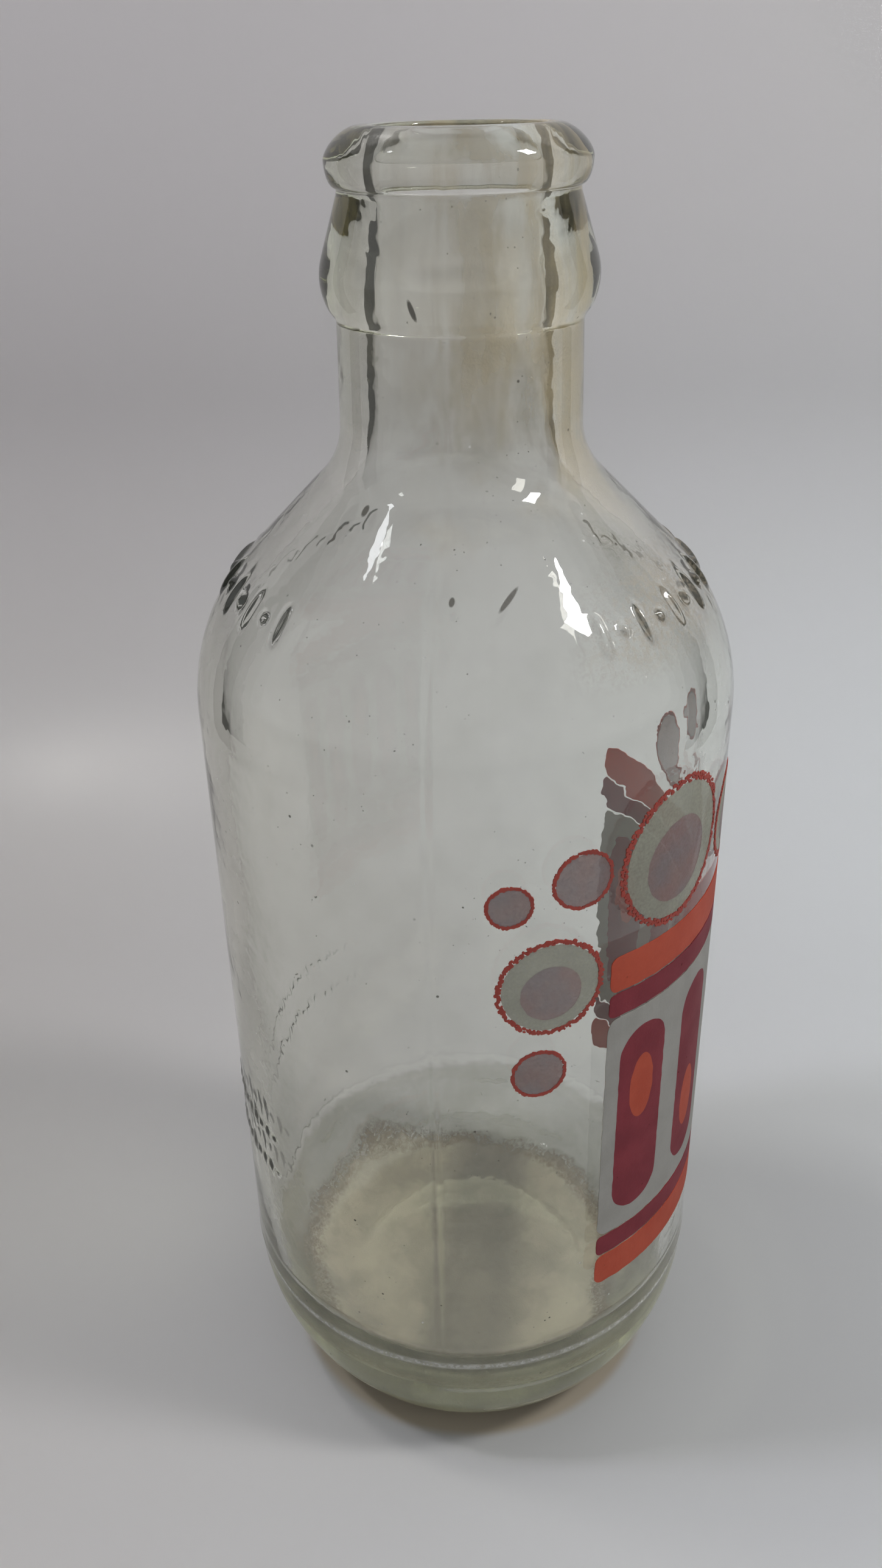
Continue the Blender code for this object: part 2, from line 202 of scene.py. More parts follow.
class NodeMaker:
    """Adds nodes to one shader or geometry tree."""

    def __init__(self, tree: bpy.types.NodeTree) -> None:
        """Keep the tree that nodes go in."""
        self.tree = tree

    def node(self, kind: str, settings: dict | None = None, inputs: dict | None = None) -> bpy.types.Node:
        """Add one node.

        Args:
            kind: Blender's node type.
            settings: Properties by name, set before the sockets. "stops" gives a
                ramp's (place, colour) pairs.
            inputs: A value, socket or Field for each input, by name or index.

        Returns:
            The new node.
        """
        node = self.tree.nodes.new(kind)
        for name, value in (settings or {}).items():
            if name == "stops":
                elements = node.color_ramp.elements
                while len(elements) < len(value):
                    elements.new(1.0)
                for element, (place, colour) in zip(elements, value):
                    element.position = place
                    element.color = (*colour, 1.0)
            else:
                setattr(node, name, value)
        for name, value in (inputs or {}).items():
            if isinstance(value, Field):
                self.tree.links.new(value.socket, node.inputs[name])
            elif isinstance(value, Socket):
                self.tree.links.new(value, node.inputs[name])
            else:
                node.inputs[name].default_value = value
        return node

    def field(self, node: bpy.types.Node, output: str | int = 0) -> Field:
        """Wrap a node's output."""
        return Field(self, node.outputs[output])

    def parts(self, vector: Socket) -> tuple[Field, Field, Field]:
        """Split a vector into its x, y and z."""
        node = self.node("ShaderNodeSeparateXYZ", inputs={0: vector})
        return self.field(node, 0), self.field(node, 1), self.field(node, 2)

    def vector(self, x: Value, y: Value, z: Value) -> Socket:
        """Join three numbers into a vector."""
        return self.node("ShaderNodeCombineXYZ", inputs={0: x, 1: y, 2: z}).outputs[0]


class ShaderMaker(NodeMaker):
    """A material's tree, with the patterns that the finishes share."""

    def __init__(self, name: str) -> None:
        """Make an empty material.

        Args:
            name: The material's name.
        """
        self.material = bpy.data.materials.new(name)
        self.material.use_nodes = True
        super().__init__(self.material.node_tree)
        self.tree.nodes.clear()
        self.output = self.node("ShaderNodeOutputMaterial")
        self.place = self.node("ShaderNodeTexCoord").outputs["Object"]
        self.x, self.y, self.z = self.parts(self.place)

    def noise(
        self,
        size: float,
        detail: float = 2.0,
        roughness: float = 0.5,
        stretch: Triple = (1, 1, 1),
        shift: float = 0.0,
    ) -> Field:
        """Return cloudy noise from about 0 to 1.

        Args:
            size: Width of a cloud in metres.
            detail: Octaves of finer noise.
            roughness: Strength of the finer noise.
            stretch: How many times longer a cloud is along x, y and z.
            shift: Offset that gives another pattern.

        Returns:
            The noise.
        """
        scale = tuple(1 / s for s in stretch)
        away = (shift, shift * 0.7, shift * 1.3)
        mapping = self.node(
            "ShaderNodeMapping", inputs={"Vector": self.place, "Location": away, "Scale": scale}
        )
        inputs = {"Vector": mapping.outputs[0], "Scale": 1 / size, "Detail": detail, "Roughness": roughness}
        return self.field(self.node("ShaderNodeTexNoise", inputs=inputs), "Fac")

    def specks(self, size: float, share: float, shift: float = 0.0) -> Field:
        """Return 1 in scattered round specks and 0 elsewhere.

        Args:
            size: Spacing of the cells that may hold a speck, in metres.
            share: Radius of a speck as a share of the spacing.
            shift: Offset that gives another pattern.

        Returns:
            The mask.
        """
        mapping = self.node("ShaderNodeMapping", inputs={"Vector": self.place, "Location": (shift,) * 3})
        inputs = {"Vector": mapping.outputs[0], "Scale": 1 / size, "Randomness": 1.0}
        node = self.node("ShaderNodeTexVoronoi", {"feature": "F1"}, inputs)
        return self.field(node, "Distance").ramp(share, share * 0.6)

    def blend(self, factor: Value, first: Shade, second: Shade) -> Socket:
        """Mix two colours.

        Args:
            factor: 0 for the first colour and 1 for the second.
            first: A colour or a socket.
            second: A colour or a socket.

        Returns:
            The mixed colour.
        """
        inputs = {0: factor, 6: opaque(first), 7: opaque(second)}
        return self.node("ShaderNodeMix", {"data_type": "RGBA"}, inputs).outputs[2]

    def bump(self, height: Field, depth: float, normal: Socket | None = None) -> Socket:
        """Return a normal that a height pattern has tilted.

        Args:
            height: The pattern.
            depth: Height in metres where the pattern is 1.
            normal: A normal to start from.

        Returns:
            The new normal.
        """
        inputs = {"Height": height, "Distance": depth, "Strength": 1.0}
        if normal is not None:
            inputs["Normal"] = normal
        return self.node("ShaderNodeBump", inputs=inputs).outputs["Normal"]

    def layered(self, layers: Sequence[tuple[Field, Shade]]) -> tuple[Field, Socket]:
        """Lay films one over another.

        Args:
            layers: Each film's cover and colour, the lowest first.

        Returns:
            Their joint cover and its colour.
        """
        cover, colour = layers[0]
        for over, tint in layers[1:]:
            joint = over + cover * (1.0 - over)
            colour = self.blend(over / joint.at_least(0.001), colour, tint)
            cover = joint
        return cover, colour

    def coat(
        self,
        colour: Shade,
        roughness: Value,
        index: float,
        normal: Socket | None = None,
        clear: float = 0.0,
    ) -> Socket:
        """Add a Principled shader.

        Args:
            colour: Base colour.
            roughness: 0 for a mirror and 1 for chalk.
            index: Index of refraction.
            normal: A bumped normal, if any.
            clear: 1 where light goes through.

        Returns:
            The shader.
        """
        inputs = {"Base Color": opaque(colour), "Roughness": roughness, "IOR": index}
        inputs["Transmission Weight"] = clear
        if normal is not None:
            inputs["Normal"] = normal
        return self.node("ShaderNodeBsdfPrincipled", inputs=inputs).outputs[0]

    def surface(self, shader: Socket) -> None:
        """Link a shader to the material's surface."""
        self.tree.links.new(shader, self.output.inputs["Surface"])

    def mix(self, factor: Value, first: Socket, second: Socket) -> Socket:
        """Return a shader between two others."""
        return self.node("ShaderNodeMixShader", inputs={0: factor, 1: first, 2: second}).outputs[0]


# Outlines


def arc(centre: Point, radius: float, start: float, end: float, step: float) -> list[Point]:
    """Points on an arc.

    Args:
        centre: Middle of the circle.
        radius: Its radius.
        start: First angle, in radians.
        end: Last angle.
        step: Largest angle between two points.

    Returns:
        The points, both ends included.
    """
    count = max(1, math.ceil(abs(end - start) / step))
    angles = [start + (end - start) * i / count for i in range(count + 1)]
    return [(centre[0] + radius * math.cos(a), centre[1] + radius * math.sin(a)) for a in angles]


def quarter(start: Point, end: Point, bulge_first: bool, steps: int, slackness: float = 1.0) -> list[Point]:
    """Points on a quarter ellipse between two corners, with start left out.

    Args:
        start: First corner as (r, z).
        end: Last corner.
        bulge_first: True where the curve leaves start along Z.
        steps: Number of pieces.
        slackness: Above 1, how far the ellipse's corner is cut.

    Returns:
        The points.
    """
    points = []
    for i in range(1, steps + 1):
        a = math.pi / 2 * i / steps
        rise, fall = math.sin(a) ** slackness, 1 - max(0.0, math.cos(a)) ** slackness
        along_r, along_z = (fall, rise) if bulge_first else (rise, fall)
        points.append((start[0] + (end[0] - start[0]) * along_r, start[1] + (end[1] - start[1]) * along_z))
    return points


def eased(points: Sequence[Point], reach: float, turn: float) -> list[Point]:
    """Round the corners of an outline that turn more than a given angle.

    Args:
        points: The outline.
        reach: How far from the corner the rounding may start.
        turn: Smallest turn that is rounded, in radians.

    Returns:
        The outline with small curves in place of its corners.
    """
    result = [points[0]]
    for before, corner, after in zip(points, points[1:], points[2:]):
        a, b, c = Vector(before), Vector(corner), Vector(after)
        if (b - a).angle(c - b) < turn:
            result.append(corner)
            continue
        start = b + (a - b).normalized() * min(reach, (a - b).length * 0.4)
        end = b + (c - b).normalized() * min(reach, (c - b).length * 0.4)
        for i in range(5):
            t = i / 4
            result.append(tuple(start * (1 - t) ** 2 + b * 2 * t * (1 - t) + end * t**2))
    return result + [points[-1]]


def refined(points: Sequence[Point], longest: float, support: float) -> list[Point]:
    """Add points along the long stretches of an outline.

    Args:
        points: The outline.
        longest: Longest stretch that stays.
        support: Distance of an extra point from each end of a long stretch, so
            that smooth shading stays flat between.

    Returns:
        The outline with more points.
    """
    result = [points[0]]
    for before, after in zip(points, points[1:]):
        a, b = Vector(before), Vector(after)
        length = (b - a).length
        if length > longest:
            count = math.ceil(length / longest)
            places = [support / length, *(i / count for i in range(1, count)), 1 - support / length]
            result += [tuple(a.lerp(b, t)) for t in places]
        result.append(after)
    return result


def new_object(name: str, mesh: Mesh) -> Object:
    """Put a mesh in the scene as an object at the origin.

    Args:
        name: The object's name.
        mesh: Its mesh, or a curve.

    Returns:
        The object.
    """
    obj = bpy.data.objects.new(name, mesh)
    bpy.context.scene.collection.objects.link(obj)
    return obj


def settled(mesh: bmesh.types.BMesh, data: Mesh) -> Mesh:
    """Write an edited mesh into mesh data, and free it.

    Args:
        mesh: The edited mesh.
        data: The mesh data that takes it.

    Returns:
        The mesh data.
    """
    mesh.to_mesh(data)
    mesh.free()
    return data


def plain_mesh(obj: Object) -> Object:
    """Replace an object's mesh and modifiers by the mesh that they make.

    Args:
        obj: The object with modifiers.

    Returns:
        The same object, without modifiers.
    """
    graph = bpy.context.evaluated_depsgraph_get()
    mesh = bpy.data.meshes.new_from_object(obj.evaluated_get(graph))
    obj.modifiers.clear()
    obj.data = mesh
    mesh.name = obj.name
    return obj


class GeometryMaker(NodeMaker):
    """A geometry tree with named inputs."""

    def __init__(self, name: str, inputs: dict[str, tuple[str, object]]) -> None:
        """Make a tree that takes a mesh and some named sizes.

        Args:
            name: The tree's name.
            inputs: Socket type and start value by input name.
        """
        tree = bpy.data.node_groups.new(name, "GeometryNodeTree")
        super().__init__(tree)
        tree.interface.new_socket("Geometry", in_out="INPUT", socket_type="NodeSocketGeometry")
        for label, (kind, start) in inputs.items():
            socket = tree.interface.new_socket(label, in_out="INPUT", socket_type=kind)
            if start is not None:
                socket.default_value = start
        tree.interface.new_socket("Geometry", in_out="OUTPUT", socket_type="NodeSocketGeometry")
        self.start = self.node("NodeGroupInput")
        self.end = self.node("NodeGroupOutput")

    def given(self, label: str) -> Field:
        """Wrap one of the tree's named inputs."""
        return self.field(self.start, label)

    def close(self, geometry: Socket) -> None:
        """Realize what the tree made, give it the material and end the tree.

        Args:
            geometry: What the tree made.
        """
        real = self.node("GeometryNodeRealizeInstances", inputs={"Geometry": geometry})
        inputs = {"Geometry": real.outputs[0], "Material": self.given("Material")}
        painted = self.node("GeometryNodeSetMaterial", inputs=inputs)
        self.tree.links.new(painted.outputs[0], self.end.inputs[0])

    def apply(self, obj: Object, values: dict[str, object]) -> Object:
        """Run the tree on an object and keep the result as its plain mesh.

        Args:
            obj: The object that the tree starts from.
            values: Values of the named inputs.

        Returns:
            The object with its new mesh.
        """
        modifier = obj.modifiers.new(self.tree.name, "NODES")
        modifier.node_group = self.tree
        for item in self.tree.interface.items_tree:
            if item.in_out == "INPUT" and item.name in values:
                modifier[item.identifier] = values[item.name]
        return plain_mesh(obj)


# Finishes


@dataclass(frozen=True)
class Scratch:
    """A short mark in the glass's outer face, placed by degrees of turn and by height."""

    place: float
    height: float
    half_length: float
    half_width: float
    lean: float

    def mask(self, maker: ShaderMaker, turn: Field, radius: Field) -> Field:
        """Return 1 on the mark and 0 elsewhere.

        Args:
            maker: The glass's tree.
            turn: Angle round the bottle, in radians.
            radius: Distance from the bottle's axis.

        Returns:
            The mask.
        """
        across = (turn - math.radians(self.place)) * radius
        along = maker.z - self.height
        c, s = math.cos(math.radians(self.lean)), math.sin(math.radians(self.lean))
        u, v = across * c - along * s, across * s + along * c
        return ((u / self.half_width) ** 2.0 + (v / self.half_length) ** 2.0).ramp(1.2, 0.5)


@dataclass(frozen=True)
class Glass:
    """Clear glass with a faint green cast, scuffs outside, dirt inside and some films of painted light and
    shade.
    """

    index: float = 1.52
    tint: Colour = (0.75, 0.78, 0.47)
    tint_density: float = 28.0
    passing_light: Colour = (0.90, 0.91, 0.87)
    most_passing: float = 0.92
    thick_below: float = 10.0 * MM
    haze_colour: Colour = (0.45, 0.46, 0.42)
    scuff_colour: Colour = (0.62, 0.62, 0.60)
    heel_colour: Colour = (0.50, 0.50, 0.32)
    # Dark brown on the foot's bearing ring: dirt, and painted shade where the foot meets the floor
    contact_dirt_and_shade_colour: Colour = (0.10, 0.07, 0.04)
    floor_colour: Colour = (0.47, 0.43, 0.34)
    # Painted light: the film's colour at its sides, much lighter than its middle
    film_painted_light_edge_colour: Colour = (0.95, 0.87, 0.66)
    # Painted light: a pale film that lightens the inner heel corner on the camera side
    painted_light_corner_colour: Colour = (0.66, 0.63, 0.52)
    residue_colour: Colour = (0.20, 0.15, 0.09)
    stain_colour: Colour = (0.50, 0.40, 0.24)
    grime_colour: Colour = (0.30, 0.25, 0.18)
    speck_colour: Colour = (0.05, 0.045, 0.035)
    residue_radius: float = 20.4 * MM
    residue_shift: float = 3.4 * MM
    residue_wander: float = 4.0 * MM
    film_top: float = 34.0 * MM
    corner_top: float = 24.0 * MM
    ripple_size: float = 7.0 * MM
    ripple_depth: float = 0.05 * MM
    throat_ripple_size: float = 2.2 * MM
    throat_ripple_depth: float = 0.12 * MM
    grain_size: float = 0.25 * MM
    grain_depth: float = 0.08 * MM
    cloud_size: float = 9.0 * MM
    grit_size: float = 0.5 * MM
    contact_height: float = 4.5 * MM
    contact_radii: Point = (19.0 * MM, 21.0 * MM)
    rings: tuple[Point, ...] = ((15.2 * MM, 0.7 * MM), (8.0 * MM, 1.1 * MM))
    ring_half_width: float = 0.1 * MM
    ring_cloud_size: float = 13.0 * MM
    dust_spacing: float = 2.6 * MM
    dirt_spacings: Point = (4.1 * MM, 1.7 * MM)
    dirt_cloud_size: float = 14.0 * MM
    streak_size: float = 11.0 * MM
    streak_span: Point = (-16.0 * MM, 2.0 * MM)
    grime_height: float = 118.0 * MM
    grime_span: Point = (-12.0 * MM, -20.0 * MM)
    scratches: tuple[Scratch, ...] = (
        Scratch(18.5, 121.4 * MM, 1.5 * MM, 0.25 * MM, 52.0),
        Scratch(-11.5, 146.9 * MM, 1.1 * MM, 0.3 * MM, -16.0),
        Scratch(-30.5, 127.7 * MM, 0.5 * MM, 0.4 * MM, 0.0),
        Scratch(4.3, 121.4 * MM, 0.4 * MM, 0.3 * MM, 20.0),
    )
    scratch_cover: float = 0.85

    def material(self, heel_height: float, neck_height: float) -> Material:
        """Make the glass.

        Args:
            heel_height: Height of the heel line.
            neck_height: Height where the neck starts.

        Returns:
            The material.
        """
        maker = ShaderMaker(Slot.CLEAR_GLASS.value)
        inner = maker.field(maker.node("ShaderNodeAttribute", {"attribute_name": "inner"}), "Fac")
        ripple = maker.noise(self.ripple_size, 3.0, 0.55, shift=0.3)
        grain = maker.noise(self.grain_size, 1.0)
        throat = inner * maker.z.ramp(neck_height - 4 * MM, neck_height + 6 * MM)
        fine = maker.noise(self.throat_ripple_size, 2.0, 0.5, (1, 1, 1.8), 0.7)
        normal = maker.bump((ripple + fine * 0.35) * throat, self.throat_ripple_depth)
        normal = maker.bump(ripple, self.ripple_depth, normal)
        clear = maker.coat((1.0, 1.0, 1.0), 0.0, self.index, normal, clear=1.0)
        scuff, colour = self.wear(maker, inner, heel_height, neck_height)
        film = maker.coat(colour, 0.6, self.index, maker.bump(grain, self.grain_depth))
        seen = maker.mix(scuff, clear, film)
        passing = maker.node("ShaderNodeBsdfTransparent", inputs={"Color": opaque(self.passing_light)})
        lamp_ray = maker.field(maker.node("ShaderNodeLightPath"), "Is Shadow Ray")
        edge = maker.field(maker.node("ShaderNodeLayerWeight", inputs={"Blend": 0.5}), "Facing")
        thin = maker.z.ramp(self.thick_below, heel_height + 6 * MM) * self.most_passing
        passes = lamp_ray * (1.0 - scuff) * (1.0 - edge * 0.6) * thin
        maker.surface(maker.mix(passes, seen, passing.outputs[0]))
        inputs = {"Color": opaque(self.tint), "Density": self.tint_density}
        volume = maker.node("ShaderNodeVolumeAbsorption", inputs=inputs)
        maker.tree.links.new(volume.outputs[0], maker.output.inputs["Volume"])
        return maker.material

    def wear(
        self, maker: ShaderMaker, inner: Field, heel_height: float, neck_height: float
    ) -> tuple[Field, Socket]:
        """Return how much film covers the glass, and the film's colour.

        Args:
            maker: The glass's tree.
            inner: 1 on the inner face and 0 on the outer one.
            heel_height: Height of the heel line.
            neck_height: Height where the neck starts.

        Returns:
            The cover from 0 to 1, and the colour.
        """
        outer = 1.0 - inner
        x, y, z = maker.x, maker.y, maker.z
        cloud = maker.noise(self.cloud_size, 4.0, 0.6)
        grit = maker.noise(self.grit_size, 3.0, 0.7, shift=0.2)
        near = x.ramp(8 * MM, -8 * MM)
        haze = cloud.ramp(0.4, 0.75) * 0.05 + 0.02
        dull = z.ramp(1 * MM, 4 * MM) * z.ramp(heel_height, heel_height - 2 * MM) * outer
        dull = dull * (cloud.ramp(0.3, 0.7) * 0.15 + 0.2)
        # Dirt and painted shade: dark brown low on the foot, near its bearing ring
        low, high = (radius**2 for radius in self.contact_radii)
        contact_dirt_and_shade = z.ramp(self.contact_height, 2 * MM) * (x * x + y * y).ramp(low, high) * outer
        contact_dirt_and_shade = contact_dirt_and_shade * (grit.ramp(0.3, 0.7) * 0.2 + 0.5)
        heel = z.band(heel_height + 0.7 * MM, 0.2 * MM, 0.6 * MM) * outer * near
        heel = heel * ((grit + cloud * 0.4).ramp(0.55, 0.8) * 0.4 + 0.12)
        bands = [z.band(height, self.ring_half_width, soft) for height, soft in self.rings]
        rings = (bands[0] + bands[1]) * outer
        rings = rings * maker.noise(self.ring_cloud_size, 2.0, shift=0.4).ramp(0.45, 0.62) * 0.22
        dust = maker.specks(self.dust_spacing, 0.07, 0.1) * cloud.ramp(0.5, 0.62) * outer * 0.6
        patchy = maker.noise(self.dirt_cloud_size, 1.0, shift=0.9).ramp(0.46, 0.58)
        wide, close = self.dirt_spacings
        dirt = maker.specks(wide, 0.05, 0.6).at_least(maker.specks(close, 0.06, 0.8) * 0.6) * patchy * 0.85
        throat = z.ramp(*(neck_height + reach for reach in self.streak_span)) * inner
        streaks = maker.noise(self.streak_size, 4.0, 0.6, (1, 1, 2.5), 0.5).ramp(0.45, 0.64)
        throat = throat * (y.ramp(6 * MM, 0.0) * 0.85 + 0.15) * (streaks * 0.5 + 0.03)
        grime = z.band(self.grime_height, 2 * MM, 4 * MM) * y.ramp(*self.grime_span) * outer
        grime = grime * (grit + cloud * 0.5).ramp(0.66, 0.92) * 0.45
        layers = [
            (haze, self.haze_colour),
            *self.floor_films(maker, inner, cloud, grit),
            (throat, self.stain_colour),
            (grime, self.grime_colour),
            (dull, self.heel_colour),
            (contact_dirt_and_shade, self.contact_dirt_and_shade_colour),
            (rings, self.scuff_colour),
            (heel.at_least(dust), self.scuff_colour),
            (dirt.at_least(self.scratched(maker) * outer), self.speck_colour),
        ]
        return maker.layered(layers)

    def scratched(self, maker: ShaderMaker) -> Field:
        """Draw the few dark scratches.

        Args:
            maker: The glass's tree.

        Returns:
            The cover from 0 to 1.
        """
        turn = (maker.y * -1.0).math("ARCTAN2", maker.x * -1.0)
        radius = (maker.x * maker.x + maker.y * maker.y) ** 0.5
        marks = None
        for scratch in self.scratches:
            mask = scratch.mask(maker, turn, radius)
            marks = mask if marks is None else marks.at_least(mask)
        return marks * self.scratch_cover

    def floor_films(
        self, maker: ShaderMaker, inner: Field, cloud: Field, grit: Field
    ) -> list[tuple[Field, Shade]]:
        """Return what a last drop left inside the base, and a pale corner of painted light.

        Args:
            maker: The glass's tree.
            inner: 1 on the inner face and 0 on the outer one.
            cloud: Broad noise.
            grit: Fine noise.

        Returns:
            A dull corner, a film and the film's brown edge, each as cover and colour.
        """
        x, y, z = maker.x, maker.y, maker.z
        low = inner * z.ramp(self.film_top, self.film_top - 4 * MM)
        edge = y.ramp(5 * MM, 20 * MM).at_least(x.ramp(-5 * MM, -18 * MM) * 1.2) * self.residue_shift
        edge = edge + self.residue_radius + (cloud - 0.5) * self.residue_wander
        past = (x * x + y * y) ** 0.5 - edge
        film = past.ramp(1.6 * MM, -1.0 * MM) * low * (cloud.ramp(0.35, 0.65) * 0.16 + 0.42)
        # Painted light: the film turns lighter away from its middle line
        side = abs(y + 1.5 * MM).ramp(3 * MM, 9 * MM)
        line = past.band(0.4 * MM, 0.6 * MM, 1.4 * MM) * low * (grit + cloud * 0.6).ramp(0.6, 0.95) * 0.8
        # Painted light: a pale film over the inner heel corner, on the camera side only
        corner = inner * z.ramp(self.corner_top, self.corner_top - 5 * MM) * x.ramp(8 * MM, -8 * MM)
        corner = corner * (cloud.ramp(0.3, 0.7) * 0.2 + 0.3)
        drop = maker.blend(side, self.floor_colour, self.film_painted_light_edge_colour)
        return [(corner, self.painted_light_corner_colour), (film, drop), (line, self.residue_colour)]


@dataclass(frozen=True)
class Enamel:
    """Fired enamel: satin, a little uneven, with pinholes and rubbed specks."""

    slot: Slot
    colour: Colour
    second: Colour
    cover: float = 1.0
    roughness: float = 0.42
    index: float = 1.5
    cloud_size: float = 5.0 * MM
    grain_size: float = 0.35 * MM
    grain_depth: float = 0.03 * MM
    speck_spacing: float = 2.3 * MM
    glow: float = 0.55

    def material(self) -> Material:
        """Make the enamel.

        Returns:
            The material.
        """
        maker = ShaderMaker(self.slot.value)
        cloud = maker.noise(self.cloud_size, 3.0, 0.6)
        grain = maker.noise(self.grain_size, 2.0, 0.6, shift=0.4)
        worn = maker.specks(self.speck_spacing, 0.075, 0.3) * cloud.ramp(0.46, 0.6)
        colour = maker.blend((cloud * 0.7 + grain * 0.3).ramp(0.35, 0.65), self.colour, self.second)
        rough = cloud * 0.25 + (self.roughness - 0.1)
        paint = maker.coat(colour, rough, self.index, maker.bump(grain, self.grain_depth))
        glow = maker.node("ShaderNodeBsdfTranslucent", inputs={"Color": opaque(self.colour)})
        fired = maker.mix(self.glow, paint, glow.outputs[0])
        bare = maker.node("ShaderNodeBsdfTransparent")
        thin = 1.0 - (worn * 0.8).at_least(1.0 - self.cover)
        if self.cover < 1.0:
            thin = thin - (grain - 0.5) * 0.5
        maker.surface(maker.mix(thin, bare.outputs[0], fired))
        return maker.material


# Glass


@dataclass
class GlassBottle:
    """The pressed glass: foot, body, shoulder, neck and crown finish in one wall."""

    finish: Glass = field(default_factory=Glass)
    body_radius: float = 31.35 * MM
    body_wall: float = 2.8 * MM
    body_height: float = 102.6 * MM
    heel_line_height: float = 20.0 * MM
    heel_bead: float = 0.1 * MM
    heel_bead_height: float = 1.6 * MM
    heel_inset: float = 0.1 * MM
    heel_turn: float = math.radians(46)
    foot_radius: float = 2.0 * MM
    bearing_width: float = 3.0 * MM
    push_up_height: float = 4.2 * MM
    floor_thickness: float = 6.3 * MM
    floor_dishing: float = 1.0 * MM
    inner_heel_radius: float = 13.5 * MM
    shoulder_radius: float = 23.7 * MM
    shoulder_turn: float = math.radians(45)
    neck_fillet: float = 8.1 * MM
    neck_radius: float = 13.04 * MM
    neck_taper: float = 0.2 * MM
    neck_wall: float = 3.7 * MM
    neck_length: float = 10.58 * MM
    collar_radius: float = 14.35 * MM
    collar_step_height: float = 0.42 * MM
    collar_easing: float = 0.6 * MM
    collar_underside_height: float = 3.36 * MM
    collar_slope_height: float = 7.76 * MM
    collar_bulge_radius: float = 6.3 * MM
    groove_radius: float = 12.2 * MM
    groove_height: float = 0.45 * MM
    locking_ring_radius: float = 13.3 * MM
    locking_underside_height: float = 2.55 * MM
    lip_height: float = 2.98 * MM
    lip_slackness: float = 1.3
    lip_seat_width: float = 0.8 * MM
    mouth_radius: float = 8.6 * MM
    mouth_rounding: float = 0.5 * MM
    throat_depth: float = 9.0 * MM
    marks_in_a_row: int = 17
    mark_pitch: float = math.radians(6.4)
    mark_length: float = 5.2 * MM
    mark_width: float = 1.4 * MM
    mark_relief: float = 0.45 * MM
    dot_width: float = 1.6 * MM
    mark_turn_share: float = 0.87
    small_mark_heights: Point = (42.5 * MM, 48.5 * MM)
    small_marks_in_a_row: int = 29
    small_mark_length: float = 2.8 * MM
    small_mark_width: float = 1.0 * MM
    small_mark_relief: float = 0.2 * MM
    seam_relief: float = 0.035 * MM
    seam_width: float = 0.9 * MM
    wave_depth: float = 0.16 * MM
    wave_size: float = 16.0 * MM
    arc_step: float = math.radians(3.5)
    turn_step: float = math.radians(2.0)
    steps_in_a_pitch: int = 8
    inner_step: float = math.radians(2.3)
    quarter_steps: int = 7
    longest_stretch: float = 4.0 * MM
    support: float = 0.4 * MM
    easing: float = 0.25 * MM
    eased_turn: float = math.radians(12)
    mark_row_step: float = 0.4 * MM

    def shoulder(self, wall: float, convex: float, fillet: float, neck: float) -> list[Point]:
        """Points up a shoulder: a convex arc, a straight cone and a concave fillet.

        Args:
            wall: Radius of the body's wall.
            convex: Radius of the convex arc.
            fillet: Radius of the concave fillet.
            neck: Radius of the neck.

        Returns:
            The points as (r, z).
        """
        top = arc((wall - convex, self.body_height), convex, 0, self.shoulder_turn, self.arc_step)
        r, z = top[-1]
        run = (r - neck - fillet * (1 - math.cos(self.shoulder_turn))) / math.sin(self.shoulder_turn)
        centre = (
            neck + fillet,
            z + run * math.cos(self.shoulder_turn) + fillet * math.sin(self.shoulder_turn),
        )
        return top + arc(centre, fillet, math.pi + self.shoulder_turn, math.pi, self.arc_step)

    def heights(self) -> dict[str, float]:
        """Work out the heights of the crown finish above the base.

        Returns:
            Each height in metres, by the name of its place.
        """
        outer = self.shoulder(self.body_radius, self.shoulder_radius, self.neck_fillet, self.neck_radius)
        neck = outer[-1][1]
        collar = neck + self.neck_length
        widest = collar + self.collar_step_height + self.collar_underside_height
        groove = widest + self.collar_slope_height
        ring = groove + self.groove_height + self.locking_underside_height
        top = ring + self.lip_height
        names = ("neck", "collar", "widest", "groove", "ring", "top")
        return dict(zip(names, (neck, collar, widest, groove, ring, top)))

    def outer_finish(self) -> list[Point]:
        """Points up the outside of the crown finish, from the neck to the lip's seat.

        Returns:
            The points as (r, z).
        """
        at, steps, bulge_radius = self.heights(), self.quarter_steps, self.collar_bulge_radius
        groove = (self.groove_radius, at["groove"])
        bulge = (self.collar_radius - bulge_radius, at["widest"])
        across, up = groove[0] - bulge[0], groove[1] - bulge[1]
        foot_turn = -math.asin(self.collar_underside_height / bulge_radius)
        slope_turn = math.atan2(up, across) - math.acos(bulge_radius / math.hypot(across, up))
        groove_top = (self.groove_radius, at["groove"] + self.groove_height)
        ring = (self.locking_ring_radius, at["ring"])
        seat = (self.mouth_radius + self.mouth_rounding + self.lip_seat_width, at["top"])
        start = Vector((self.neck_radius - self.neck_taper, at["collar"] - self.collar_easing))
        foot_turn += self.collar_easing / bulge_radius
        underside = arc(bulge, bulge_radius, foot_turn, slope_turn, self.arc_step)
        end, slope = Vector(underside[0]), Vector((-math.sin(foot_turn), math.cos(foot_turn)))
        turns = (start, start + Vector((0, self.collar_easing)), end - slope * self.collar_easing, end)
        points = [tuple(p) for p in interpolate_bezier(*turns, 12)][:-1]
        points += underside + [groove, groove_top]
        points += quarter(groove_top, ring, False, steps)
        return points + quarter(ring, seat, True, steps * 2, self.lip_slackness)

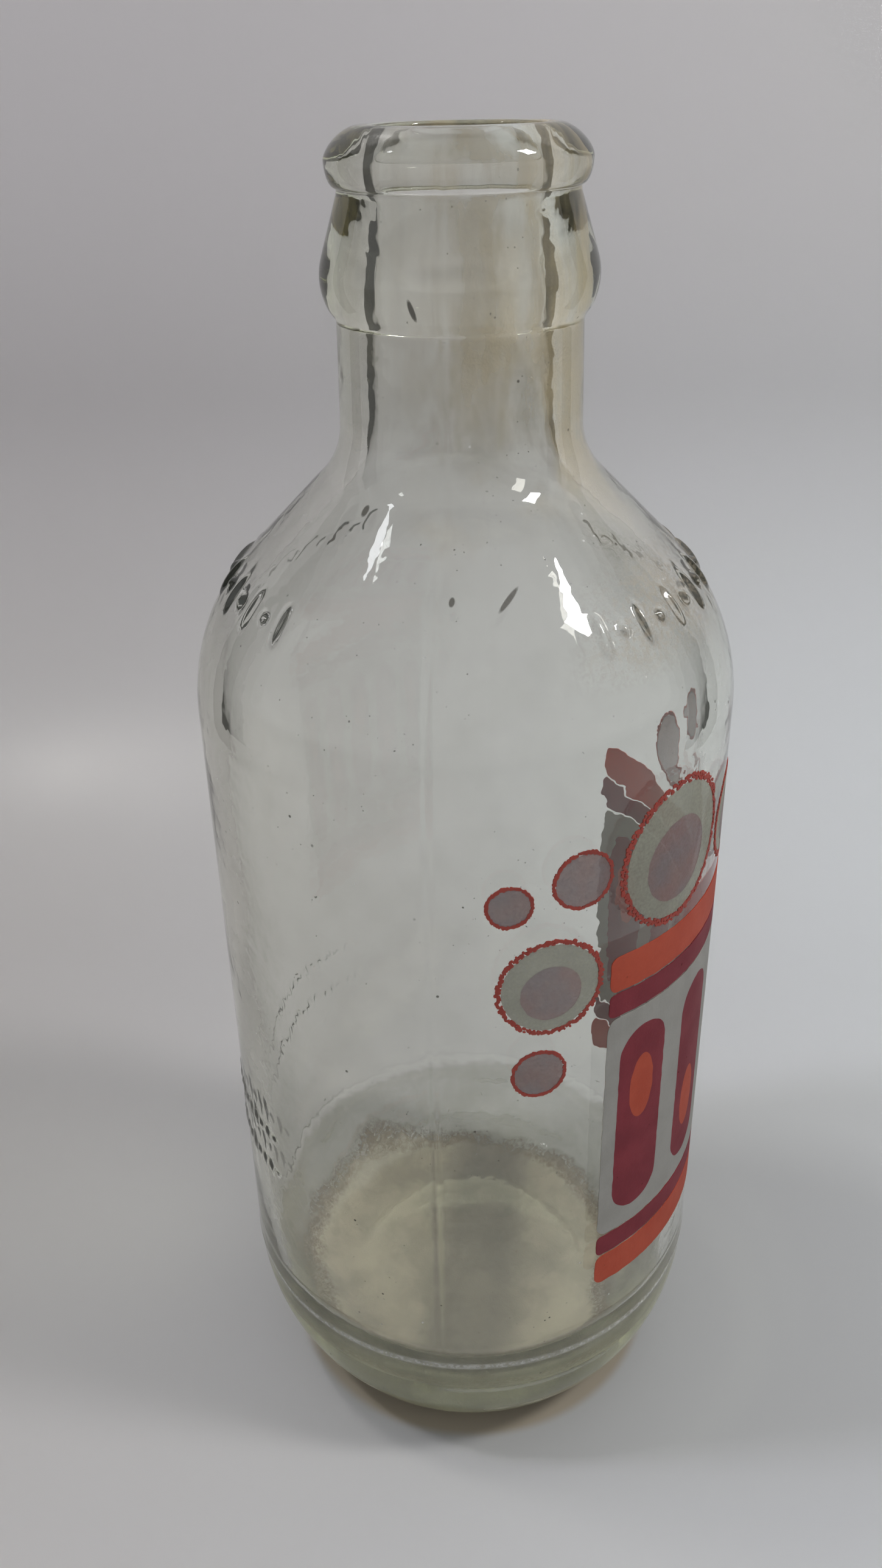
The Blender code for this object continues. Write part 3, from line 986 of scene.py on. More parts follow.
    def foot(self) -> list[Point]:
        """Points from the centre of the push-up out and up to the straight wall.

        Returns:
            The points as (r, z).
        """
        wall = self.body_radius - self.heel_inset
        foot_end = self.foot_radius * (1 - math.sin(self.heel_turn))
        radius = (self.heel_line_height - foot_end) / math.sin(self.heel_turn)
        heel = arc((wall - radius, self.heel_line_height), radius, -self.heel_turn, 0, self.arc_step)
        centre = (heel[0][0] - self.foot_radius * math.cos(self.heel_turn), self.foot_radius)
        foot = arc(centre, self.foot_radius, -math.pi / 2, -self.heel_turn, self.arc_step * 2)
        inner = foot[0][0] - self.bearing_width
        dome_radius = (inner**2 + self.push_up_height**2) / (2 * self.push_up_height)
        turn = math.asin(inner / dome_radius)
        centre = (0, self.push_up_height - dome_radius)
        dome = arc(centre, dome_radius, math.pi / 2, math.pi / 2 - turn, self.arc_step)
        foot_of_bead = self.heel_line_height
        bead = [
            (
                wall + self.heel_inset * t + self.heel_bead * math.sin(math.pi * t) ** 2,
                foot_of_bead + self.heel_bead_height * t,
            )
            for t in (i / 8 for i in range(1, 9))
        ]
        return [(0, self.push_up_height)] + dome[1:] + foot + heel[1:] + bead

    def inside(self) -> list[Point]:
        """Points from the axis across the floor and up the bore to the mouth.

        Returns:
            The points as (r, z).
        """
        wall = self.body_radius - self.body_wall
        middle = self.push_up_height + self.floor_thickness
        corner = (wall - self.inner_heel_radius, middle - self.floor_dishing + self.inner_heel_radius)
        points = [(0, middle)] + arc(corner, self.inner_heel_radius, -math.pi / 2, 0, self.arc_step)
        fillet, bore = self.neck_fillet + self.neck_wall, self.neck_radius - self.neck_wall
        points += self.shoulder(wall, self.shoulder_radius - self.body_wall, fillet, bore)
        top = self.heights()["top"]
        edge = (self.mouth_radius + self.mouth_rounding, top - self.mouth_rounding)
        throat = [(self.mouth_radius, top - self.throat_depth)]
        return points + throat + arc(edge, self.mouth_rounding, math.pi, math.pi / 2, self.arc_step * 3)

    def outside(self) -> list[Point]:
        """Points from the centre of the push-up up the outside to the lip's seat.

        Returns:
            The points as (r, z).
        """
        points = self.foot()
        points += self.shoulder(self.body_radius, self.shoulder_radius, self.neck_fillet, self.neck_radius)
        return points + self.outer_finish()

    def from_marks(self, r: float, z: float) -> float:
        """Distance of a point up the outline from the middle of the shoulder marks.

        Args:
            r: The point's distance from the axis.
            z: Its height.

        Returns:
            The distance, which is negative below the middle.
        """
        radius = self.shoulder_radius
        turn = math.atan2(z - self.body_height, r - self.body_radius + radius)
        middle = self.shoulder_turn * self.mark_turn_share * radius
        if z < self.body_height:
            return z - self.body_height - middle
        if turn <= self.shoulder_turn:
            return turn * radius - middle
        along_r, along_z = -math.sin(self.shoulder_turn), math.cos(self.shoulder_turn)
        run = (r - self.body_radius + radius) * along_r + (z - self.body_height) * along_z
        return run + self.shoulder_turn * radius - middle

    def fine_spans(self) -> list[list[Point]]:
        """Close points up the outline where the raised marks stand.

        Returns:
            A list of points as (r, z) for each row of marks.
        """
        step, spans = self.mark_row_step, []
        for height in self.small_mark_heights:
            count = math.ceil(self.small_mark_length / step) + 1
            spans.append([(self.body_radius, height + (i - count / 2) * step) for i in range(count + 1)])
        turn, reach = self.shoulder_turn * self.mark_turn_share, self.mark_length * 0.6
        centre = (self.body_radius - self.shoulder_radius, self.body_height)
        radius = self.shoulder_radius
        span = arc(centre, radius, turn - reach / radius, self.shoulder_turn, step / radius)
        over = reach - (self.shoulder_turn - turn) * radius
        end, slope = Vector(span[-1]), Vector((-math.sin(self.shoulder_turn), math.cos(self.shoulder_turn)))
        span += [tuple(end + slope * step * i) for i in range(1, math.ceil(over / step) + 1)]
        return spans + [span]

    def rows(self) -> list[tuple[float, float, Side, float]]:
        """List the turned wall's points, from the floor over the lip to the push-up.

        Returns:
            Radius, height, side and distance up from the marks' middle.
        """
        inside, outside = (
            refined(eased(points, self.easing, self.eased_turn), self.longest_stretch, self.support)
            for points in (self.inside(), self.outside())
        )
        for span in self.fine_spans():
            low, high = span[0][1] - 0.1 * MM, span[-1][1] + 0.1 * MM
            outside = [p for p in outside if p[1] < low] + span + [p for p in outside if p[1] > high]
        rows = [(r, z, Side.INNER, 1.0) for r, z in inside]
        return rows + [(r, z, Side.OUTER, self.from_marks(r, z)) for r, z in reversed(outside)]

    def columns(self) -> list[float]:
        """Angles of the outer face's columns: finer at the marks and the seams.

        Returns:
            The angles in radians, in order.
        """
        step = self.mark_pitch / self.steps_in_a_pitch
        count = (self.marks_in_a_row // 2) * self.steps_in_a_pitch + self.steps_in_a_pitch // 2 + 1
        angles = []
        for middle in (-math.pi / 2, math.pi / 2):
            angles += [middle + step * i for i in range(-count, count + 1)]
        quiet = math.pi / 2 - step * count
        for middle in (0.0, math.pi):
            pieces = math.ceil(quiet / self.turn_step)
            angles += [middle + quiet * i / pieces for i in range(1 - pieces, pieces)]
            width = self.seam_width / self.body_radius
            angles += [middle + width * share for share in (-1.0, -0.5, -0.25, 0.25, 0.5, 1.0)]
        return sorted({round(a % math.tau, 6) for a in angles})

    def wall_mesh(self) -> Mesh:
        """Turn the wall's rows into one closed mesh, with fewer columns on the inner face.

        Returns:
            The mesh, with its side and its distance from the marks as attributes.
        """
        columns = self.columns()
        kept = [0]
        for i, angle in enumerate(columns):
            to_first = columns[0] + math.tau - angle
            if angle - columns[kept[-1]] >= self.inner_step and to_first >= self.inner_step / 2:
                kept.append(i)
        mesh = bmesh.new()
        inner = mesh.verts.layers.float.new("inner")
        along = mesh.verts.layers.float.new("along")
        rings: list[tuple[Side, list[bmesh.types.BMVert]]] = []
        for r, z, side, distance in self.rows():
            angles = columns if side is Side.OUTER else [columns[i] for i in kept]
            placed = angles if r > 0 else angles[:1]
            ring = [mesh.verts.new((r * math.cos(a), r * math.sin(a), z)) for a in placed]
            for vertex in ring:
                vertex[inner] = side.value
                vertex[along] = distance
            rings.append((side, ring * (len(angles) if r == 0 else 1)))
        for (side, low), (next_side, high) in zip(rings, rings[1:]):
            for i in range(len(low)):
                if side is next_side:
                    corners = [low[i - 1], low[i], high[i], high[i - 1]]
                else:
                    first, last = kept[i - 1], kept[i] if i else len(columns)
                    corners = [low[i - 1], low[i]]
                    corners += [high[j % len(columns)] for j in range(last, first - 1, -1)]
                face = mesh.faces.new(list(dict.fromkeys(corners)))
                face.smooth = True
        bmesh.ops.recalc_face_normals(mesh, faces=mesh.faces[:])
        return settled(mesh, bpy.data.meshes.new("glass"))

    def small_marks(self, maker: GeometryMaker, x: Field, y: Field, z: Field) -> Field:
        """Raise the two rows of small marks on the body's +Y side.

        Args:
            maker: The pressing tree.
            x: Place of a vertex.
            y: The same along Y.
            z: The same along Z.

        Returns:
            The relief in metres.
        """
        pitch = maker.given("Mark pitch") * 0.5
        turn = x.math("ARCTAN2", y)
        index = (turn / pitch).math("ROUND")
        edge = (maker.given("Small marks in a row") - 1.0) * 0.5
        counted = (abs(index) - edge).ramp(0.2, 0.1)
        across = (turn - index * pitch) * self.body_radius / maker.given("Small mark width") * 2.0
        relief = None
        for number, height in enumerate(self.small_mark_heights):
            share = ((index * 2.4 + number * 1.7).math("SINE")).ramp(-0.6, 0.4) * 0.6 + 0.4
            along = (z - height) / (maker.given("Small mark length") * share) * 2.0
            dome = (1.0 - across**2.0 - along**2.0).at_least(0.0) ** 0.5
            relief = dome if relief is None else relief.at_least(dome)
        return relief * maker.given("Small mark relief") * counted

    def pressing_tree(self) -> GeometryMaker:
        """Make the tree that raises the marks and the seams and waves the inner wall.

        Returns:
            The tree.
        """
        number, whole = "NodeSocketFloat", "NodeSocketInt"
        maker = GeometryMaker(
            "pressing",
            {
                "Marks in a row": (whole, self.marks_in_a_row),
                "Mark pitch": (number, self.mark_pitch),
                "Mark length": (number, self.mark_length),
                "Mark width": (number, self.mark_width),
                "Mark relief": (number, self.mark_relief),
                "Dot width": (number, self.dot_width),
                "Small marks in a row": (whole, self.small_marks_in_a_row),
                "Small mark length": (number, self.small_mark_length),
                "Small mark width": (number, self.small_mark_width),
                "Small mark relief": (number, self.small_mark_relief),
                "Seam relief": (number, self.seam_relief),
                "Seam width": (number, self.seam_width),
                "Wave depth": (number, self.wave_depth),
                "Wave size": (number, self.wave_size),
                "Seed": (number, 3.0),
                "Material": ("NodeSocketMaterial", None),
            },
        )
        place = maker.node("GeometryNodeInputPosition").outputs[0]
        x, y, z = maker.parts(place)
        radius = (x * x + y * y) ** 0.5

        def named(label: str) -> Field:
            """Read one of the mesh's own attributes."""
            node = maker.node("GeometryNodeInputNamedAttribute", {"data_type": "FLOAT"}, {"Name": label})
            return maker.field(node, "Attribute")

        inner, along = named("inner"), named("along")
        outer = 1.0 - inner
        turn = x.math("ARCTAN2", abs(y))
        index = (turn / maker.given("Mark pitch")).math("ROUND")
        edge = (maker.given("Marks in a row") - 1.0) * 0.5
        counted = (abs(index) - edge).ramp(0.2, 0.1)
        across = (turn - index * maker.given("Mark pitch")) * radius
        even = abs((index * 0.5).math("FRACT") - 0.5) * 2.0
        odd = 1.0 - even
        width = maker.given("Mark width") * even + maker.given("Dot width") * odd
        length = maker.given("Mark length") * even + maker.given("Dot width") * odd
        dome = 1.0 - (across / width * 2.0) ** 2.0 - (along / length * 2.0) ** 2.0
        marks = dome.at_least(0.0) ** 0.5 * maker.given("Mark relief") * counted * outer
        small = self.small_marks(maker, x, y, z) * outer
        off_seam = y.math("ARCTAN2", abs(x)) * radius / maker.given("Seam width") * 2.0
        seam = (1.0 - off_seam**2.0).at_least(0.0) * maker.given("Seam relief") * outer
        at = self.heights()
        seam = seam * z.ramp(self.foot_radius, self.foot_radius * 2) * z.ramp(at["top"], at["ring"])
        wave = maker.node(
            "ShaderNodeTexNoise",
            {"noise_dimensions": "4D"},
            {"Vector": place, "W": maker.given("Seed"), "Scale": 1.0, "Detail": 1.0},
        )
        scale = 1.0 / maker.given("Wave size")
        scaled = maker.node("ShaderNodeVectorMath", {"operation": "SCALE"}, {0: place, "Scale": scale})
        maker.tree.links.new(scaled.outputs[0], wave.inputs["Vector"])
        waves = (maker.field(wave, 0) - 0.5) * 2.0 * maker.given("Wave depth") * inner
        waves = waves * z.ramp(at["top"], at["ring"])
        normal = maker.node("GeometryNodeInputNormal").outputs[0]
        height = marks.at_least(seam).at_least(small) + waves
        offset = maker.node("ShaderNodeVectorMath", {"operation": "SCALE"}, {0: normal, "Scale": height})
        inputs = {"Geometry": maker.start.outputs[0], "Offset": offset.outputs[0]}
        moved = maker.node("GeometryNodeSetPosition", inputs=inputs)
        maker.close(moved.outputs[0])
        return maker

    def build(self) -> Object:
        """Make the glass and let it stand for the part's glass node.

        Returns:
            The glass.
        """
        at = self.heights()
        obj = new_object("pressed_glass", self.wall_mesh())
        material = self.finish.material(self.heel_line_height, at["neck"])
        self.pressing_tree().apply(obj, {"Material": material})
        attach(obj, "root")
        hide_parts("glass_bottle")
        return obj


# Label


@dataclass
class EnamelFields:
    """The printed fields of the label, each a thin skin fired onto the body."""

    bottle: GlassBottle
    width: float = 58.0 * MM
    sink: float = 0.02 * MM
    thickness: float = 0.09 * MM
    band_end_share: float = 0.25
    panel_corner_share: float = 0.045
    lozenge_count: int = 5
    lozenge_width_share: float = 0.66
    lozenge_height_share: float = 0.84
    oval_width_share: float = 0.52
    oval_height_share: float = 0.34
    oval_shift_share: float = 0.17
    edge_unevenness: float = 0.045 * MM
    edge_wave: float = 1.3 * MM
    edge_step: float = 0.35 * MM
    wrap_step: float = math.radians(1.5)
    merge_distance: float = 0.004 * MM

    def rounded_box(self, u0: float, u1: float, v0: float, v1: float, radius: float) -> list[Point]:
        """Outline of a rectangle with round corners.

        Args:
            u0: Left edge.
            u1: Right edge.
            v0: Lower edge.
            v1: Upper edge.
            radius: Radius of the corners.

        Returns:
            The points, counter-clockwise.
        """
        points = []
        starts = (-math.pi / 2, 0.0, math.pi / 2, math.pi)
        for (u, v), start in zip(((u1, v0), (u1, v1), (u0, v1), (u0, v0)), starts):
            cu = u - math.copysign(radius, u - (u0 + u1) / 2)
            cv = v - math.copysign(radius, v - (v0 + v1) / 2)
            points += arc((cu, cv), radius, start, start + math.pi / 2, math.radians(9))
        return points

    def ellipse(self, u: float, v: float, half_width: float, half_height: float) -> list[Point]:
        """Outline of an ellipse, counter-clockwise."""
        angles = [math.tau * i / 72 for i in range(72)]
        return [(u + half_width * math.cos(a), v + half_height * math.sin(a)) for a in angles]

    def printed(self, outline: Sequence[Point]) -> list[Point]:
        """Cut an outline into short steps and shift them a little, as a screen print's edge is.

        Args:
            outline: A closed outline.

        Returns:
            The uneven outline, without points that lie on the one before.
        """
        points = []
        for a, b in zip(outline, [*outline[1:], outline[0]]):
            start, end = Vector(a), Vector(b)
            count = max(1, math.ceil((end - start).length / self.edge_step))
            points += [start.lerp(end, i / count) for i in range(count)]
        moved = []
        for point in points:
            place = Vector((*point, 0.0)) / self.edge_wave
            away = place + Vector((7.0, 3.0, 1.0))
            shift = Vector((noise.noise(place), noise.noise(away))) * 2 * self.edge_unevenness
            if not moved or (point + shift - moved[-1]).length > self.merge_distance * 2:
                moved.append(point + shift)
        return [tuple(p) for p in moved]

    def flat_mesh(self, name: str, outlines: Iterable[Sequence[Point]]) -> Mesh:
        """Fill outlines as a flat mesh in u and v.

        Args:
            name: The piece's name.
            outlines: Outer outline first, then holes.

        Returns:
            The filled mesh.
        """
        curve = bpy.data.curves.new(name, "CURVE")
        curve.dimensions = "2D"
        curve.fill_mode = "FRONT"
        for outline in map(self.printed, outlines):
            spline = curve.splines.new("POLY")
            spline.points.add(len(outline) - 1)
            for point, (u, v) in zip(spline.points, outline):
                point.co = (u, v, 0, 1)
            spline.use_cyclic_u = True
        guide = new_object(name + "_outline", curve)
        graph = bpy.context.evaluated_depsgraph_get()
        mesh = bpy.data.meshes.new_from_object(guide.evaluated_get(graph))
        bpy.data.objects.remove(guide)
        return mesh

    def skin(self, name: str, outlines: Iterable[Sequence[Point]], enamel: Material, slot: Slot) -> Object:
        """Wrap a filled outline round the body as a thin closed skin.

        Args:
            name: The piece's name, which is a node's name with _enamel after it.
            outlines: Outer outline first, then holes, in u and v.
            enamel: Its material.
            slot: Not used.

        Returns:
            The piece.
        """
        data = self.flat_mesh(name, outlines)
        mesh = bmesh.new()
        mesh.from_mesh(data)
        bmesh.ops.remove_doubles(mesh, verts=mesh.verts[:], dist=self.merge_distance)
        radius = self.bottle.body_radius
        step = self.wrap_step * radius
        first = math.floor(min(v.co.x for v in mesh.verts) / step)
        last = math.ceil(max(v.co.x for v in mesh.verts) / step)
        for i in range(first, last + 1):
            bmesh.ops.bisect_plane(
                mesh,
                geom=mesh.verts[:] + mesh.edges[:] + mesh.faces[:],
                dist=self.merge_distance,
                plane_co=(i * step, 0, 0),
                plane_no=(1, 0, 0),
            )
        bmesh.ops.remove_doubles(mesh, verts=mesh.verts[:], dist=self.merge_distance)
        bmesh.ops.dissolve_degenerate(mesh, edges=mesh.edges[:], dist=self.merge_distance)
        for face in mesh.faces:
            if face.normal.z < 0:
                face.normal_flip()
        for vertex in mesh.verts:
            angle = vertex.co.x / radius
            low = radius - self.sink
            vertex.co = (low * math.sin(angle), -low * math.cos(angle), vertex.co.y)
        mesh.normal_update()
        settled(mesh, data)
        data.materials.clear()
        data.materials.append(enamel)
        obj = new_object(name, data)
        shell = obj.modifiers.new("thickness", "SOLIDIFY")
        shell.thickness = self.thickness
        shell.offset = 1
        plain_mesh(obj)
        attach(obj, "root")
        return obj

    def span(self, node: str) -> Point:
        """Lowest and highest place of a node above the base."""
        low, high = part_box(node)
        return low.z, high.z

    def build(self, enamels: dict[Slot, Material]) -> list[Object]:
        """Make the white panel, the bands and what is let into the panel.

        Args:
            enamels: A material for each slot.

        Returns:
            The pieces.
        """
        half, pieces = self.width / 2, []
        for name, slot in (
            ("lower_orange_band", Slot.ORANGE),
            ("lower_crimson_band", Slot.CRIMSON),
            ("upper_crimson_band", Slot.CRIMSON),
            ("upper_orange_band", Slot.ORANGE),
        ):
            v0, v1 = self.span(name)
            outline = self.rounded_box(-half, half, v0, v1, (v1 - v0) * self.band_end_share)
            piece = self.skin(name + "_enamel", [outline], enamels[slot], slot)
            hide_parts(name)
            pieces.append(piece)
        v0, v1 = self.span("white_panel")
        outlines = [self.rounded_box(-half, half, v0, v1, (v1 - v0) * self.panel_corner_share)]
        pitch, middle = self.width / self.lozenge_count, (v0 + v1) / 2
        width = pitch * self.lozenge_width_share / 2
        height = (v1 - v0) * self.lozenge_height_share / 2
        oval = (width * self.oval_width_share, height * self.oval_height_share)
        for i in range(self.lozenge_count):
            u = (i - (self.lozenge_count - 1) / 2) * pitch
            v = middle + 2 * height * self.oval_shift_share * (1 if i % 2 == 0 else -1)
            body = self.rounded_box(u - width, u + width, middle - height, middle + height, width)
            outlines.append(body)
            hole = self.ellipse(u, v, *oval)
            for name, shape, slot in (
                (f"crimson_lozenge_{i + 1}", [body, hole], Slot.CRIMSON),
                (f"orange_oval_{i + 1}", [hole], Slot.ORANGE),
            ):
                piece = self.skin(name + "_enamel", shape, enamels[slot], slot)
                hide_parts(name)
                pieces.append(piece)
        panel = self.skin("white_panel_enamel", outlines, enamels[Slot.WHITE], Slot.WHITE)
        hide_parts("white_panel")
        return pieces + [panel]


@dataclass
class Bubbles:
    """The thin bubbles beside the panel: stippled red rims round translucent middles."""

    fields: EnamelFields
    field_height: float = 19.6 * MM
    # Middle u, middle v and radius of each bubble, as shares of the field's height
    shares: tuple[Triple, ...] = (
        (0.485, 0.52, 0.46),
        (-0.37, -0.08, 0.32),
        (-0.20, 0.58, 0.18),
        (-0.61, 0.48, 0.13),
        (-0.43, -0.675, 0.165),
        (1.29, 0.39, 0.30),
        (1.74, 0.78, 0.17),
        (2.16, 0.345, 0.24),
    )
    rim_share: float = 0.11
    core_share: float = 0.66
    core_shift_share: float = 0.13
    large_share: float = 0.3
    gap: float = 0.3 * MM
    dot_width: float = 0.42 * MM
    dots_per_metre: float = 9000.0
    dot_sides: int = 7

    def stipple_tree(self) -> GeometryMaker:
        """Make the tree that scatters dots along a ring and wraps them round the body.

        Returns:
            The tree.
        """
        number, whole = "NodeSocketFloat", "NodeSocketInt"
        maker = GeometryMaker(
            "stippled_ring",
            {
                "Middle u": (number, 0.0),
                "Middle v": (number, 0.0),
                "Ring radius": (number, 1.0),
                "Ring width": (number, 1.0),
                "Dots": (whole, 100),
                "Dot width": (number, 1.0),
                "Dot height": (number, 1.0),
                "Body radius": (number, 1.0),
                "Seed": (whole, 1),
                "Material": ("NodeSocketMaterial", None),
            },
        )

        def scatter(low: float, high: float, shift: int) -> Field:
            """Draw a random number for each dot.

            Args:
                low: Smallest number.
                high: Largest number.
                shift: Offset of the seed.

            Returns:
                The number.
            """
            node = maker.node(
                "FunctionNodeRandomValue",
                {"data_type": "FLOAT"},
                {2: low, 3: high, 7: index, 8: maker.given("Seed") + float(shift)},
            )
            return maker.field(node, 1)

        index = maker.field(maker.node("GeometryNodeInputIndex"))
        angle = (index + scatter(-0.5, 0.5, 0)) / maker.given("Dots") * math.tau
        reach = maker.given("Ring radius") + maker.given("Ring width") * scatter(-0.5, 0.5, 1)
        u = maker.given("Middle u") + reach * angle.math("COSINE")
        v = maker.given("Middle v") + reach * angle.math("SINE")
        points = maker.node(
            "GeometryNodePoints", inputs={"Count": maker.given("Dots"), "Position": maker.vector(u, v, 0.0)}
        )
        dot = maker.node(
            "GeometryNodeMeshCylinder",
            {"fill_type": "NGON"},
            {
                "Vertices": self.dot_sides,
                "Side Segments": 1,
                "Fill Segments": 1,
                "Radius": maker.given("Dot width") * 0.5,
                "Depth": maker.given("Dot height"),
            },
        )
        size = scatter(0.55, 1.15, 2)
        placed = maker.node(
            "GeometryNodeInstanceOnPoints",
            inputs={
                "Points": points.outputs[0],
                "Instance": dot.outputs["Mesh"],
                "Rotation": maker.vector(0.0, 0.0, scatter(0.0, math.tau, 3)),
                "Scale": maker.vector(size, size * scatter(0.7, 1.3, 4), 1.0),
            },
        )
        real = maker.node("GeometryNodeRealizeInstances", inputs={"Geometry": placed.outputs[0]})
        x, y, z = maker.parts(maker.node("GeometryNodeInputPosition").outputs[0])
        turn = x / maker.given("Body radius")
        radius = maker.given("Body radius") + z
        wrapped = maker.vector(radius * turn.math("SINE"), radius * turn.math("COSINE") * -1.0, y)
        inputs = {"Geometry": real.outputs[0], "Position": wrapped}
        moved = maker.node("GeometryNodeSetPosition", inputs=inputs)
        maker.close(moved.outputs[0])
        return maker

    def rim(self, tree: GeometryMaker, number: int, place: Triple, enamel: Material) -> Object:
        """Make one stippled rim.

        Args:
            tree: The stippling tree.
            number: Which bubble it is.
            place: Middle u, middle v and outer radius.
            enamel: Its material.

        Returns:
            The piece.
        """
        u, v, radius = place
        width = radius * self.rim_share
        obj = new_object(f"bubble_rim_{number}_enamel", bpy.data.meshes.new("rim"))
        middle = radius - width / 2
        tree.apply(
            obj,
            {
                "Middle u": u,
                "Middle v": v,
                "Ring radius": middle,
                "Ring width": max(width - self.dot_width / 2, width / 2),
                "Dots": round(math.tau * middle * self.dots_per_metre),
                "Dot width": self.dot_width,
                "Dot height": 2 * self.fields.thickness,
                "Body radius": self.fields.bottle.body_radius,
                "Seed": number * 10,
                "Material": enamel,
            },
        )
        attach(obj, "root")
        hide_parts(f"bubble_rim_{number}")
        return obj

    def build(self, enamels: dict[Slot, Material]) -> list[Object]:
        """Make every bubble's rim and core, and a halo for each large one.

        Args:
            enamels: A material for each slot.

        Returns:
            The pieces.
        """
        tree, fields, pieces = self.stipple_tree(), self.fields, []
        foot = fields.span("upper_orange_band")[1]
        for i, (u_share, v_share, radius_share) in enumerate(self.shares, 1):
            u = u_share * self.field_height - fields.width / 2
            v, radius = foot + v_share * self.field_height, radius_share * self.field_height
            pieces.append(self.rim(tree, i, (u, v, radius), enamels[Slot.RED]))
            fill = radius * (1 - self.rim_share)
            if radius_share < self.large_share:
                outlines = [fields.ellipse(u, v, fill, fill)]
            else:
                core = (fill - self.gap) * self.core_share
                core_v = v - (fill - self.gap) * self.core_shift_share
                outlines = [fields.ellipse(u, core_v, core, core)]
                ring = [fields.ellipse(u, v, fill, fill), outlines[0]]
                halo = fields.skin(f"bubble_halo_{i}_enamel", ring, enamels[Slot.PALE], Slot.PALE)
                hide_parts(f"bubble_halo_{i}")
                pieces.append(halo)
            middle = fields.skin(f"bubble_core_{i}_enamel", outlines, enamels[Slot.MAUVE], Slot.MAUVE)
            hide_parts(f"bubble_core_{i}")
            pieces.append(middle)
        return pieces


# Surroundings


@dataclass(frozen=True)
class Lamp:
    """A soft lamp that points at the bottle.

    It stands turn degrees from the camera's direction, to the right, and rise
    degrees above the horizon, at a distance from the bottle's middle.
    """

    name: str
    turn: float
    rise: float
    distance: float
    size: Point
    power: float
    colour: Colour
    target: Triple = (0.0, 0.0, 0.08)

    def build(self, view_turn: float) -> Object:
        """Add the lamp.

        Args:
            view_turn: The camera's direction, as an angle round the bottle.

        Returns:
            The lamp's object.
        """
        data = bpy.data.lights.new(self.name, "AREA")
        data.shape = "RECTANGLE"
        data.size, data.size_y = self.size
        data.energy = self.power
        data.color = self.colour
        obj = bpy.data.objects.new(self.name, data)
        bpy.context.scene.collection.objects.link(obj)
        a, e = math.radians(self.turn) + view_turn, math.radians(self.rise)
        direction = Vector((math.sin(a) * math.cos(e), -math.cos(a) * math.cos(e), math.sin(e)))
        obj.location = Vector(self.target) + direction * self.distance
        obj.rotation_euler = direction.to_track_quat("Z", "Y").to_euler()
        return obj


